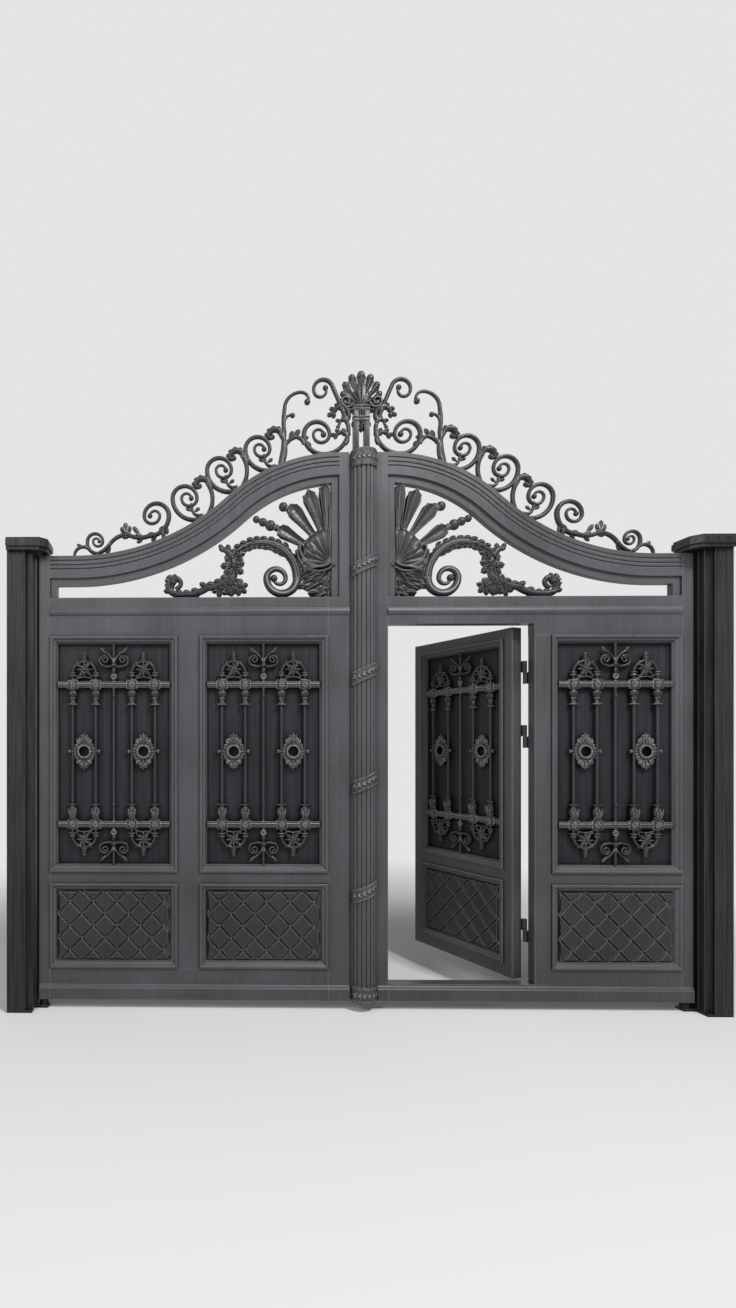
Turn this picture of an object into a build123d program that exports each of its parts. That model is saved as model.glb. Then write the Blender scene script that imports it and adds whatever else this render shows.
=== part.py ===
from build123d import *
import os
from math import acos, atan, atan2, ceil, cos, degrees, radians, sin, sqrt

os.makedirs("parts", exist_ok=True)

# A double-leaf driveway gate with an arched top, and a wicket door in its right leaf.
# All lengths are millimetres. X runs along the gate, -Y is the street side, Z is up.
# Places along a leaf are given as distances from the gate's centre line.

# Posts
post_width = 140.0
post_depth = 205.0
post_height = 2558.0
post_wall = 6.0
post_band = 100.0
post_recess = 22.0
flute_count = 3
flute_width = 9.0
flute_depth = 3.0
foot_thickness = 12.0

# Caps
cap_height = 67.0
cap_front = 135.0
cap_back = 108.0
cap_arm_back = 38.0
cap_reach = 161.0
cap_step = 10.0
cap_corner = 42.0

# Leaves and their running gaps
half_run = 1839.0
post_gap = 7.0
leaf_thickness = 70.0
ground_gap = 53.0
cap_gap = 10.0
pivot_inset = 40.0
parting_left = 80.0
parting_gap = 8.0
edge_break = 3.0

# Frame members
hinge_stile_width = 79.0
mullion_width = 122.0
bay_width = 719.0
inner_bay_width = 721.0
meeting_stile_width = 55.0
threshold_top = 146.0
lower_panel_low = 229.0
lower_panel_high = 706.0
window_low = 766.0
window_high = 2096.0
transom_top = 2312.0
plinth_low = 56.0
plinth_high = 137.0
plinth_proud = 12.0
strip_low = 2206.0
strip_high = 2252.0
strip_proud = 10.0

# Arched top rail
arch_rise = 573.0
arch_flat = 144.0
arch_lower_share = 0.577
arch_face = 125.0
arch_lip = 40.0
arch_lip_set_back = 12.0
groove_drops = (27.0, 52.0, 74.0)
groove_width = 10.0
groove_depth = 6.0

# Bay panels
moulding_width = 45.0
moulding_nose = 14.0
moulding_step = 12.0
moulding_neck = 30.0
moulding_set_back = 17.0
moulding_break = 4.0
front_proud = 12.0
back_proud = 6.0
sheet_thickness = 8.0
field_thickness = 40.0
field_margin = 26.0
field_slope = 14.0

# Window grilles
grille_middle = 23.0
grille_bar_radius = 8.0
bar_sides = 6
grille_rail_height = 35.0
grille_rail_low = 1036.0
grille_rail_high = 1822.0
grille_pair_offset = 167.0
grille_pair_half = 65.0
arch_outer = 73.0
arch_ribbon = 15.0
arch_leg = 31.0
arch_finial = 48.0
ribbon_depth = 18.0
ribbon_sag = 2.5
ribbon_overlap = 3.0
collar_size = 38.0
collar_height = 46.0
collar_drop = 40.0
rosette_height = 1446.0
rosette_outer = 48.0
rosette_hole = 30.0
rosette_leaf_height = 98.0
rosette_leaf_width = 62.0
curl_outer = 31.0
curl_hole = 15.0
curl_spacing = 52.0
curl_rise = 122.0
small_ring_sides = 8

# Doorway and wicket door
doorway_right = 948.0
doorway_high = 2160.0
wicket_left_gap = 10.0
wicket_right_gap = 16.0
wicket_sill_gap = 10.0
wicket_head_gap = 10.0
wicket_stile_width = 58.0
wicket_open = 69.0

# Wicket hinges
hinge_heights = (426.0, 1531.0, 1896.0)
hinge_length = 130.0
hinge_barrel_radius = 11.0
hinge_barrel_sides = 12
hinge_pin_radius = 5.0
hinge_plate_width = 46.0
hinge_plate_thickness = 6.0
running_clearance = 0.3

# Latch
latch_height = 1330.0
latch_plate_length = 180.0
latch_plate_width = 26.0
latch_plate_thickness = 2.0
latch_bolt_reach = 14.0
latch_bolt_height = 30.0
latch_bolt_width = 14.0
keep_clearance = 8.0

# Main pivots
pivot_pin_radius = 14.0
pivot_pin_depth = 38.0
pivot_boss_radius = 26.0
pivot_boss_height = 34.0
pivot_arm_width = 60.0
pivot_arm_length = 75.0

# Centre column
column_radius = 69.0
column_set_back = 15.0
column_over = 4.0
reed_count = 7
reed_radius = 12.5
reed_sides = 8
column_sides = 20
collar_proud = 6.0
top_collar_height = 96.0
base_collar_height = 90.0
band_heights = (668.0, 1275.0, 1880.0, 2486.0)
band_height = 73.0
band_rise = 67.0
band_proud = 6.0

# Finial
finial_offset = -5.0
stem_width = 31.0
stem_spacing = 60.0
stem_height = 190.0
finial_collar_width = 92.0
finial_collar_height = 84.0
finial_collar_depth = 52.0
finial_depth = 30.0
drop_height = 64.0
palm_low = 304.0
palm_lobes = ((0.0, 174.0, 36.0), (29.0, 148.0, 27.0), (54.0, 136.0, 25.0), (80.0, 116.0, 22.0))

# Cresting
crest_ribbon = 21.0
crest_depth = 24.0
crest_seat = 0.2
scroll_radius = 69.0
scroll_arm_radius = 123.0
scroll_rise = 96.0
scroll_outs = (467.0, 684.0, 879.0)
scroll_shrink = 0.63
scroll_taper = 0.88
bead_radius = 14.0
bead_sides = 8

# Spandrel ornament
fan_depth = 26.0
shell_depth = 40.0
blade_depth = 16.0
shell_rise = 208.0
shell_width = 172.0
shell_height = 190.0
arm_ribbon = 40.0

# Places that follow from the sizes above
middle = post_width / 2 + post_gap + half_run
face = leaf_thickness / 2
leaf_low = ground_gap
leaf_high = post_height - cap_gap
pivot_x = middle - half_run + pivot_inset
stile_in = middle - half_run + hinge_stile_width
bay_in = stile_in + bay_width
inner_bay_out = bay_in + mullion_width
inner_bay_in = inner_bay_out + inner_bay_width
leaf_end = middle - parting_left
arch_end = leaf_end - meeting_stile_width
arch_start = stile_in + arch_flat
arch_run = arch_end - arch_start
arch_turn = 2 * atan(arch_rise / arch_run)
arch_radii = arch_run / sin(arch_turn)
arch_lower_radius = arch_radii * arch_lower_share
arch_upper_radius = arch_radii - arch_lower_radius
arch_high = leaf_high + arch_rise
column_top = arch_high + column_over
centre_plane = Plane(origin=(middle, 0, 0), z_dir=(1, 0, 0))


def write(piece, name):
    piece.label = name
    export_step(piece, f"parts/{name}.step")


def write_pair(piece, name):
    write(piece, f"left_{name}")
    write(mirror(piece, about=centre_plane), f"right_{name}")


# Posts: hollow aluminium sections with a fluted front band and a set-back inner strip.
band_edge = -post_width / 2 + post_band
recess_face = post_depth / 2 - post_recess
with BuildPart() as post:
    with BuildSketch(Plane.XY.offset(foot_thickness)):
        with BuildLine():
            Polyline(
                (-post_width / 2, -post_depth / 2),
                (band_edge, -post_depth / 2),
                (band_edge, -recess_face),
                (post_width / 2, -recess_face),
                (post_width / 2, recess_face),
                (band_edge, recess_face),
                (band_edge, post_depth / 2),
                (-post_width / 2, post_depth / 2),
                close=True,
            )
        make_face()
        flute_step = post_band / (flute_count + 1)
        flute_middle = (-post_width / 2 + band_edge) / 2
        with Locations((flute_middle, 0)):
            with GridLocations(flute_step, post_depth, flute_count, 2):
                Rectangle(flute_width, 2 * flute_depth, mode=Mode.SUBTRACT)
        with Locations((post_width / 2, 0)):
            with GridLocations(post_width, recess_face * 2 / (flute_count + 1), 1, flute_count):
                Rectangle(2 * flute_depth, flute_width, mode=Mode.SUBTRACT)
        hollow = post_wall + flute_depth
        with Locations((flute_middle, 0)):
            Rectangle(post_band - 2 * hollow, post_depth - 2 * hollow, mode=Mode.SUBTRACT)
        with Locations((post_width / 2 - hollow, 0)):
            Rectangle(
                post_width - post_band,
                2 * (recess_face - hollow),
                align=(Align.MAX, Align.CENTER),
                mode=Mode.SUBTRACT,
            )
    extrude(amount=post_height - foot_thickness)
write_pair(post.part, "post")

# Feet: a base plate under each post, with the arm, boss and pin of the bottom pivot.
with BuildPart() as foot:
    with BuildSketch():
        Rectangle(post_width, post_depth)
    extrude(amount=foot_thickness)
    with BuildSketch():
        with Locations((post_width / 2, 0)):
            Rectangle(pivot_arm_length, pivot_arm_width, align=(Align.MIN, Align.CENTER))
    extrude(amount=foot_thickness)
    with BuildSketch(Plane.XY.offset(foot_thickness)):
        with Locations((pivot_x, 0)):
            RegularPolygon(pivot_boss_radius, 8)
    extrude(amount=pivot_boss_height)
    with BuildSketch(Plane.XY.offset(foot_thickness + pivot_boss_height)):
        with Locations((pivot_x, 0)):
            Circle(pivot_pin_radius)
    extrude(amount=leaf_low + pivot_pin_depth - foot_thickness - pivot_boss_height)
write_pair(foot.part, "foot")

# Caps: a stepped block on each post that reaches over the leaf and holds its top pivot pin.
with BuildPart() as cap:
    cap_steps = (
        (0.0, cap_step, cap_height * 0.3),
        (cap_height * 0.3, 0.0, cap_height * 0.5),
        (cap_height * 0.8, cap_step * 0.6, cap_height * 0.2),
    )
    for rise, inset, height in cap_steps:
        with BuildSketch(Plane.XY.offset(post_height + rise)):
            with BuildLine():
                Polyline(
                    (-post_width / 2, cap_back - inset),
                    (-post_width / 2, -cap_front + inset),
                    (cap_reach - inset - cap_corner, -cap_front + inset),
                    (cap_reach - inset, -cap_front + inset + cap_corner),
                    (cap_reach - inset, cap_arm_back - inset),
                    (post_width / 2, cap_back - inset),
                    close=True,
                )
            make_face()
        extrude(amount=height)
    with BuildSketch(Plane.XY.offset(post_height)):
        with Locations((pivot_x, 0)):
            Circle(pivot_pin_radius)
    extrude(amount=-(cap_gap + pivot_pin_depth))
write_pair(cap.part, "cap")


# Bars of the leaf frames: boxes with broken edges.
def bar(x0, x1, z0, z1, along=Axis.Z):
    with BuildPart() as piece:
        with BuildSketch(Plane.XY.offset(z0)):
            with Locations(((x0 + x1) / 2, 0)):
                Rectangle(x1 - x0, leaf_thickness)
        extrude(amount=z1 - z0)
        chamfer(piece.edges().filter_by(along), edge_break)
    return piece.part


# Plinth: the moulding along the bottom of each leaf's street side.
def plinth(x0, x1):
    with BuildPart() as piece:
        with BuildSketch(Plane(origin=(x0, 0, 0), x_dir=(0, -1, 0), z_dir=(-1, 0, 0))):
            with BuildLine():
                front = face + plinth_proud
                neck = face + plinth_proud / 2
                shoulder_low = plinth_high - 1.5 * plinth_proud
                shoulder_high = plinth_high - plinth_proud / 2
                Polyline((face, plinth_low), (front, plinth_low), (front, shoulder_low))
                RadiusArc((front, shoulder_low), (neck, shoulder_high), 1.1 * plinth_proud)
                Polyline((neck, shoulder_high), (face, plinth_high), (face, plinth_low))
            make_face()
        extrude(amount=-(x1 - x0))
    return piece.part


# Strip: the half-round moulding across the transom, on both sides.
def strip(x0, x1):
    with BuildPart() as piece:
        with BuildSketch(Plane(origin=(x0, 0, 0), x_dir=(0, -1, 0), z_dir=(-1, 0, 0))):
            with BuildLine():
                ThreePointArc(
                    (face, strip_low),
                    (face + strip_proud, (strip_low + strip_high) / 2),
                    (face, strip_high),
                )
                Line((face, strip_high), (face, strip_low))
            make_face()
        extrude(amount=-(x1 - x0))
    return piece.part


# Hinge stile: rounded about the pivot axis, bored for the pivot pins at both ends.
with BuildPart() as hinge_stile:
    with BuildSketch(Plane.XY.offset(leaf_low)):
        with BuildLine():
            shoulder = pivot_x - sqrt(pivot_inset**2 - face**2)
            Line((stile_in, -face), (shoulder, -face))
            ThreePointArc((shoulder, -face), (pivot_x - pivot_inset, 0), (shoulder, face))
            Line((shoulder, face), (stile_in, face))
            Line((stile_in, face), (stile_in, -face))
        make_face()
    extrude(amount=leaf_high - leaf_low)
    pin_bore = pivot_pin_depth + 6.0
    bore_radius = pivot_pin_radius + running_clearance
    with BuildSketch(Plane.XY.offset(leaf_low)):
        with Locations((pivot_x, 0)):
            Circle(bore_radius)
    extrude(amount=pin_bore, mode=Mode.SUBTRACT)
    with BuildSketch(Plane.XY.offset(leaf_high)):
        with Locations((pivot_x, 0)):
            Circle(bore_radius)
    extrude(amount=-pin_bore, mode=Mode.SUBTRACT)
    add(plinth(shoulder, stile_in))
write_pair(hinge_stile.part, "hinge_stile")

# Left meeting stile: wide beside the bays, narrow beside the spandrel.
with BuildPart() as meeting_stile:
    with BuildSketch(Plane.XZ.offset(-face)):
        with BuildLine():
            Polyline(
                (inner_bay_in, leaf_low),
                (leaf_end, leaf_low),
                (leaf_end, arch_high),
                (arch_end, arch_high),
                (arch_end, transom_top),
                (inner_bay_in, transom_top),
                close=True,
            )
        make_face()
    extrude(amount=leaf_thickness)
    add(plinth(inner_bay_in, leaf_end))
    add(strip(inner_bay_in, leaf_end))
write(meeting_stile.part, "left_meeting_stile")

# Right meeting stile: it carries the column and is notched for the wicket's latch.
right_start = middle - parting_left + parting_gap
door_jamb = middle + parting_left + meeting_stile_width
with BuildPart() as right_meeting_stile:
    with BuildSketch(Plane.XZ.offset(-face)):
        with BuildLine():
            Polyline(
                (right_start, leaf_low),
                (door_jamb, leaf_low),
                (door_jamb, arch_high),
                (right_start, arch_high),
                close=True,
            )
        make_face()
    extrude(amount=leaf_thickness)
    notch_depth = latch_bolt_reach + keep_clearance - wicket_left_gap
    notch_height = latch_bolt_height + 2 * keep_clearance
    notch_front = latch_bolt_width / 2 + keep_clearance
    with Locations((door_jamb - notch_depth / 2, (face - notch_front) / 2, latch_height)):
        Box(notch_depth, face + notch_front, notch_height, mode=Mode.SUBTRACT)
    add(plinth(middle + column_radius + collar_proud, door_jamb))
write(right_meeting_stile.part, "right_meeting_stile")

# Mullions
write(bar(bay_in, inner_bay_out, lower_panel_low, window_high), "left_mullion")
right_bay_in = 2 * middle - bay_in
right_stile_in = 2 * middle - stile_in
hinge_jamb = middle + doorway_right
with BuildPart() as right_mullion:
    add(bar(hinge_jamb, right_bay_in, threshold_top, window_high))
write(right_mullion.part, "right_mullion")

# Bottom rails
with BuildPart() as left_bottom_rail:
    add(bar(stile_in, inner_bay_in, leaf_low, lower_panel_low, Axis.X))
    add(plinth(stile_in, inner_bay_in))
write(left_bottom_rail.part, "left_bottom_rail")
with BuildPart() as right_bottom_rail:
    with BuildSketch(Plane.XZ.offset(-face)):
        with BuildLine():
            Polyline(
                (door_jamb, leaf_low),
                (right_stile_in, leaf_low),
                (right_stile_in, lower_panel_low),
                (right_bay_in, lower_panel_low),
                (right_bay_in, threshold_top),
                (door_jamb, threshold_top),
                close=True,
            )
        make_face()
    extrude(amount=leaf_thickness)
    add(plinth(door_jamb, right_stile_in))
write(right_bottom_rail.part, "right_bottom_rail")

# Lock rails
write(bar(stile_in, bay_in, lower_panel_high, window_low, Axis.X), "left_lock_rail_outer")
write(bar(inner_bay_out, inner_bay_in, lower_panel_high, window_low, Axis.X), "left_lock_rail_inner")
write(bar(right_bay_in, right_stile_in, lower_panel_high, window_low, Axis.X), "right_lock_rail")

# Transoms
with BuildPart() as left_transom:
    add(bar(stile_in, inner_bay_in, window_high, transom_top, Axis.X))
    add(strip(stile_in, inner_bay_in))
write(left_transom.part, "left_transom")
with BuildPart() as right_transom:
    with BuildSketch(Plane.XZ.offset(-face)):
        with BuildLine():
            Polyline(
                (door_jamb, doorway_high),
                (hinge_jamb, doorway_high),
                (hinge_jamb, window_high),
                (right_stile_in, window_high),
                (right_stile_in, transom_top),
                (door_jamb, transom_top),
                close=True,
            )
        make_face()
    extrude(amount=leaf_thickness)
    add(strip(door_jamb, right_stile_in))
write(right_transom.part, "right_transom")


# The arch: a flat, an arc that rises and an arc that levels out, at a drop below its top edge.
def arch_edge(drop, start):
    low = arch_lower_radius + drop
    high = arch_upper_radius - drop
    low_centre = leaf_high + arch_lower_radius
    high_centre = arch_high - arch_upper_radius
    joint = (arch_start + low * sin(arch_turn), low_centre - low * cos(arch_turn))
    low_half = (arch_start + low * sin(arch_turn / 2), low_centre - low * cos(arch_turn / 2))
    high_half = (arch_end - high * sin(arch_turn / 2), high_centre + high * cos(arch_turn / 2))
    Line((start, leaf_high - drop), (arch_start, leaf_high - drop))
    ThreePointArc((arch_start, leaf_high - drop), low_half, joint)
    ThreePointArc(joint, high_half, (arch_end, arch_high - drop))


# Arch rail: one grooved section with a set-back lip, swept along the S-curve of the arch, and the lip's
# two short uprights at the ends of the spandrel.
def grooved_side(side):
    points = [(side * face, 0)]
    for drop in groove_drops:
        points.append((side * face, drop - groove_width / 2))
        points.append((side * (face - groove_depth), drop))
        points.append((side * face, drop + groove_width / 2))
    points.append((side * face, arch_face))
    points.append((side * (face - arch_lip_set_back), arch_face))
    points.append((side * (face - arch_lip_set_back), arch_face + arch_lip))
    return points


with BuildPart() as arch_rail:
    with BuildLine(Plane.XZ) as arch_path:
        arch_edge(0, stile_in)
    with BuildSketch(Plane(origin=(stile_in, 0, leaf_high), x_dir=(0, 1, 0), z_dir=(1, 0, 0))):
        with BuildLine():
            front = grooved_side(-1)
            back = grooved_side(1)
            Polyline([(y, -drop) for y, drop in front + back[::-1]], close=True)
        make_face()
    sweep(path=arch_path.line)
    lip_ends = ((stile_in, leaf_high, 1), (arch_end, arch_high, -1))
    for x, top, way in lip_ends:
        with BuildSketch(Plane.XY.offset(transom_top)):
            with Locations((x + way * arch_lip / 2, 0)):
                Rectangle(arch_lip, 2 * (face - arch_lip_set_back))
        extrude(amount=top - arch_face - arch_lip / 2 - transom_top)
write_pair(arch_rail.part, "arch_rail")


# A moulded rim on one side of a bay: a stepped section swept round with mitred corners.
def rim(x0, x1, z0, z1, proud, side):
    half = (x0 + x1) / 2
    top = face + proud
    step = top - moulding_step
    cove_end = moulding_nose + moulding_step
    with BuildPart() as piece:
        with BuildLine(Plane.XZ) as path:
            Polyline((half, z0), (x1, z0), (x1, z1), (x0, z1), (x0, z0), (half, z0))
        with BuildSketch(Plane(origin=(half, 0, z0), x_dir=(0, 0, 1), z_dir=(1, 0, 0))):
            with BuildLine():
                Polyline((moulding_nose, top), (moulding_break, top), (0, top - moulding_break), (0, 0))
                Polyline((0, 0), (moulding_width, 0), (moulding_width, face - moulding_set_back))
                Polyline((moulding_width, face - moulding_set_back), (moulding_neck, step), (cove_end, step))
                Polyline((moulding_nose, top), (cove_end - moulding_break, step + moulding_break), (cove_end, step))
            make_face()
        sweep(path=path.line, transition=Transition.RIGHT)
    if side > 0:
        return mirror(piece.part, about=Plane.XZ)
    return piece.part


# Window panel: a recessed sheet inside a moulded rim on both sides.
def window_panel(x0, x1, z0, z1):
    with BuildPart() as piece:
        with Locations(((x0 + x1) / 2, 0, (z0 + z1) / 2)):
            Box(x1 - x0 - moulding_width, sheet_thickness, z1 - z0 - moulding_width)
        add(rim(x0, x1, z0, z1, front_proud, -1))
        add(rim(x0, x1, z0, z1, back_proud, 1))
    return piece.part


# Lower panel: a raised field with sloped edges, inside a moulded rim on both sides.
def lower_panel(x0, x1, z0, z1):
    centre = ((x0 + x1) / 2, (z0 + z1) / 2)
    margin = moulding_width + field_margin
    with BuildPart() as piece:
        with Locations((centre[0], 0, centre[1])):
            Box(x1 - x0 - moulding_width, sheet_thickness, z1 - z0 - moulding_width)
        for side in (-1, 1):
            with BuildSketch(Plane.XZ.offset(side * sheet_thickness / 4)):
                with Locations(centre):
                    Rectangle(x1 - x0 - 2 * margin, z1 - z0 - 2 * margin)
            with BuildSketch(Plane.XZ.offset(side * field_thickness / 2)):
                with Locations(centre):
                    Rectangle(x1 - x0 - 2 * (margin + field_slope), z1 - z0 - 2 * (margin + field_slope))
            loft()
        add(rim(x0, x1, z0, z1, front_proud, -1))
        add(rim(x0, x1, z0, z1, back_proud, 1))
    return piece.part


# A flat ribbon of scrollwork along an arc, in straight steps that stay close to the arc.
def arc_ribbon(centre, radius, start, end, width):
    x, z = centre
    step = 2 * degrees(acos(1 - ribbon_sag / radius))
    count = max(2, ceil(abs(end - start) / step))
    turns = [radians(start + (end - start) * index / count) for index in range(count + 1)]
    outer = [(x + (radius + width / 2) * cos(t), z + (radius + width / 2) * sin(t)) for t in turns]
    inner = [(x + (radius - width / 2) * cos(t), z + (radius - width / 2) * sin(t)) for t in turns]
    with BuildSketch() as band:
        with BuildLine():
            Polyline(outer + inner[::-1], close=True)
        make_face()
    return band.sketch


# A ribbon on the arc through three points.
def ribbon(start, through, end, width):
    path = Edge.make_three_point_arc(start, through, end)
    centre = (path.arc_center.X, path.arc_center.Y)
    overlap = degrees(ribbon_overlap / path.radius)
    angles = [degrees(atan2(point[1] - centre[1], point[0] - centre[0])) for point in (start, through, end)]
    sweep_to = (angles[2] - angles[0]) % 360
    if (angles[1] - angles[0]) % 360 > sweep_to:
        sweep_to = sweep_to - 360
        overlap = -overlap
    return arc_ribbon(centre, path.radius, angles[0] - overlap, angles[0] + sweep_to + overlap, width)


# Window grille: bars in pairs under round arches, tied by two flat rails, with a rosette in each pair.
def grille(x0, x1):
    centre = (x0 + x1) / 2
    front = Plane.XZ.offset(grille_middle)
    low = window_low + moulding_width
    high = window_high - moulding_width
    pairs = (centre - grille_pair_offset, centre + grille_pair_offset)
    bars = [pair + side * grille_pair_half for pair in pairs for side in (-1, 1)]
    with BuildPart() as piece:
        with BuildSketch(front):
            for rail in (grille_rail_low, grille_rail_high):
                with Locations((centre, rail)):
                    Rectangle(x1 - x0 - 2 * moulding_width, grille_rail_height)
        extrude(amount=ribbon_depth / 2, both=True)
        with BuildSketch(Plane.XY.offset(grille_rail_low)):
            for place in bars:
                with Locations((place, -grille_middle)):
                    RegularPolygon(grille_bar_radius, bar_sides)
        extrude(amount=grille_rail_high - grille_rail_low)
        with BuildSketch(Plane.XY.offset(low)):
            with Locations((centre, -grille_middle)):
                RegularPolygon(grille_bar_radius, bar_sides)
        extrude(amount=high - low)
        for rail, up in ((grille_rail_high, 1), (grille_rail_low, -1)):
            foot = rail + up * grille_rail_height / 2
            spring = foot + up * arch_leg
            with BuildSketch(front):
                for pair in pairs:
                    add(arc_ribbon((pair, spring), arch_outer - arch_ribbon / 2, 0, 180 * up, arch_ribbon))
                    for side in (-1, 1):
                        with Locations((pair + side * (arch_outer - arch_ribbon / 2), (foot + spring) / 2)):
                            Rectangle(arch_ribbon, arch_leg)
                    with Locations((pair, spring + up * (arch_outer + arch_finial / 2 - 1.0))):
                        Rectangle(arch_ribbon, arch_finial)
                for side in (-1, 1):
                    with Locations((centre + side * curl_spacing, rail + up * curl_rise)):
                        RegularPolygon(curl_outer, small_ring_sides)
                        RegularPolygon(curl_hole, small_ring_sides, mode=Mode.SUBTRACT)
                with Locations((centre, rail + up * (curl_rise - curl_outer))):
                    Rectangle(2 * curl_spacing, arch_ribbon)
                with Locations((centre, (low + high) / 2)):
                    Rectangle(x1 - x0, high - low, mode=Mode.INTERSECT)
            extrude(amount=ribbon_depth / 2, both=True)
            for place in bars:
                with Locations((place, -grille_middle, rail - up * collar_drop)):
                    Box(collar_size, collar_size * 0.6, collar_height)
        with BuildSketch(front):
            for pair in pairs:
                with Locations((pair, rosette_height)):
                    Polygon(
                        (-rosette_leaf_width, 0),
                        (0, -rosette_leaf_height),
                        (rosette_leaf_width, 0),
                        (0, rosette_leaf_height),
                    )
                    RegularPolygon(rosette_outer, small_ring_sides)
                    RegularPolygon(rosette_hole, small_ring_sides, mode=Mode.SUBTRACT)
        extrude(amount=ribbon_depth / 2, both=True)
    return piece.part


# Bays of the left leaf and of the right leaf's fixed part
bays = (
    ("left", "outer_", stile_in, bay_in),
    ("left", "inner_", inner_bay_out, inner_bay_in),
    ("right", "", right_bay_in, right_stile_in),
)
for leaf, place, x0, x1 in bays:
    write(window_panel(x0, x1, window_low, window_high), f"{leaf}_{place}window_panel")
    write(lower_panel(x0, x1, lower_panel_low, lower_panel_high), f"{leaf}_{place}lower_panel")
    write(grille(x0, x1), f"{leaf}_{place}grille")

# Wicket door: built shut in its doorway, then turned open about its hinge axis.
wicket_left = door_jamb + wicket_left_gap
wicket_right = middle + doorway_right - wicket_right_gap
wicket_low = threshold_top + wicket_sill_gap
wicket_high = doorway_high - wicket_head_gap
wicket_axis_x = middle + doorway_right - wicket_right_gap / 2
wicket_axis_y = face + hinge_plate_thickness + hinge_barrel_radius
wicket_axis = Axis((wicket_axis_x, wicket_axis_y, 0), (0, 0, 1))
wicket_bay_left = wicket_left + wicket_stile_width
wicket_bay_right = wicket_right - wicket_stile_width


def write_wicket(piece, name):
    write(piece.rotate(wicket_axis, -wicket_open), name)


write_wicket(bar(wicket_left, wicket_bay_left, wicket_low, wicket_high), "wicket_lock_stile")
write_wicket(bar(wicket_bay_right, wicket_right, wicket_low, wicket_high), "wicket_hinge_stile")
wicket_rails = (
    ("wicket_bottom_rail", wicket_low, lower_panel_low),
    ("wicket_lock_rail", lower_panel_high, window_low),
    ("wicket_top_rail", window_high, wicket_high),
)
for name, z0, z1 in wicket_rails:
    write_wicket(bar(wicket_bay_left, wicket_bay_right, z0, z1, Axis.X), name)
write_wicket(window_panel(wicket_bay_left, wicket_bay_right, window_low, window_high), "wicket_window_panel")
write_wicket(
    lower_panel(wicket_bay_left, wicket_bay_right, lower_panel_low, lower_panel_high), "wicket_lower_panel"
)
write_wicket(grille(wicket_bay_left, wicket_bay_right), "wicket_grille")

# Latch on the wicket's free edge: a face plate and its bolt.
with BuildPart() as latch:
    with BuildSketch(Plane.YZ.offset(wicket_left)):
        with Locations((0, latch_height)):
            Rectangle(latch_plate_width, latch_plate_length)
    extrude(amount=-latch_plate_thickness)
    with BuildSketch(Plane.YZ.offset(wicket_left)):
        with Locations((0, latch_height)):
            Rectangle(latch_bolt_width, latch_bolt_height)
    extrude(amount=-latch_bolt_reach)
write_wicket(latch.part, "wicket_latch")

# Wicket hinges: fixed lower knuckles with their pins, and moving upper knuckles.
knuckle = hinge_length / 2
with BuildPart() as fixed_hinges:
    for height in hinge_heights:
        with BuildSketch(Plane.XY.offset(height - knuckle)):
            with Locations((wicket_axis_x, wicket_axis_y)):
                RegularPolygon(hinge_barrel_radius, hinge_barrel_sides)
            with Locations((wicket_axis_x, face)):
                Rectangle(
                    wicket_right_gap / 2 + hinge_plate_width,
                    hinge_plate_thickness,
                    align=(Align.MIN, Align.MIN),
                )
            with Locations((wicket_axis_x, face)):
                Rectangle(
                    hinge_barrel_radius,
                    hinge_plate_thickness + hinge_barrel_radius,
                    align=(Align.MIN, Align.MIN),
                )
        extrude(amount=knuckle - running_clearance)
        with BuildSketch(Plane.XY.offset(height - knuckle)):
            with Locations((wicket_axis_x, wicket_axis_y)):
                Circle(hinge_pin_radius)
        extrude(amount=hinge_length - 2 * hinge_pin_radius)
write(fixed_hinges.part, "wicket_hinge_pins")
with BuildPart() as moving_hinges:
    for height in hinge_heights:
        with BuildSketch(Plane.XY.offset(height + running_clearance)):
            with Locations((wicket_axis_x, wicket_axis_y)):
                RegularPolygon(hinge_barrel_radius, hinge_barrel_sides)
            with Locations((wicket_axis_x, face)):
                Rectangle(
                    wicket_right_gap / 2 + hinge_plate_width,
                    hinge_plate_thickness,
                    align=(Align.MAX, Align.MIN),
                )
            with Locations((wicket_axis_x, face)):
                Rectangle(
                    hinge_barrel_radius,
                    hinge_plate_thickness + hinge_barrel_radius,
                    align=(Align.MAX, Align.MIN),
                )
            with Locations((wicket_axis_x, wicket_axis_y)):
                Circle(hinge_pin_radius + running_clearance, mode=Mode.SUBTRACT)
        extrude(amount=knuckle - running_clearance)
write_wicket(moving_hinges.part, "wicket_hinge_knuckles")

# Centre column: a reeded half column on the right meeting stile, with slanting bands and two collars.
column_y = -face + column_set_back


# A slice of the half column, from a height up.
def half_round(radius, low, height):
    with BuildPart() as piece:
        with BuildSketch(Plane.XY.offset(low)):
            with Locations((middle, column_y)):
                RegularPolygon(radius, column_sides, rotation=180 / column_sides)
            with Locations((middle, -face)):
                Rectangle(4 * radius, 4 * radius, align=(Align.CENTER, Align.MAX), mode=Mode.INTERSECT)
        extrude(amount=height)
    return piece.part


# A band that rises from left to right round the half column.
def slanting_band(radius, height, thickness):
    low = height - (band_rise + thickness) / 2
    with BuildSketch(Plane.XZ) as slant:
        with BuildLine():
            Polyline(
                (middle - radius, low),
                (middle + radius, low + band_rise),
                (middle + radius, low + band_rise + thickness),
                (middle - radius, low + thickness),
                close=True,
            )
        make_face()
    return half_round(radius, low, band_rise + thickness) & extrude(slant.sketch, amount=2 * radius)


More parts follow.
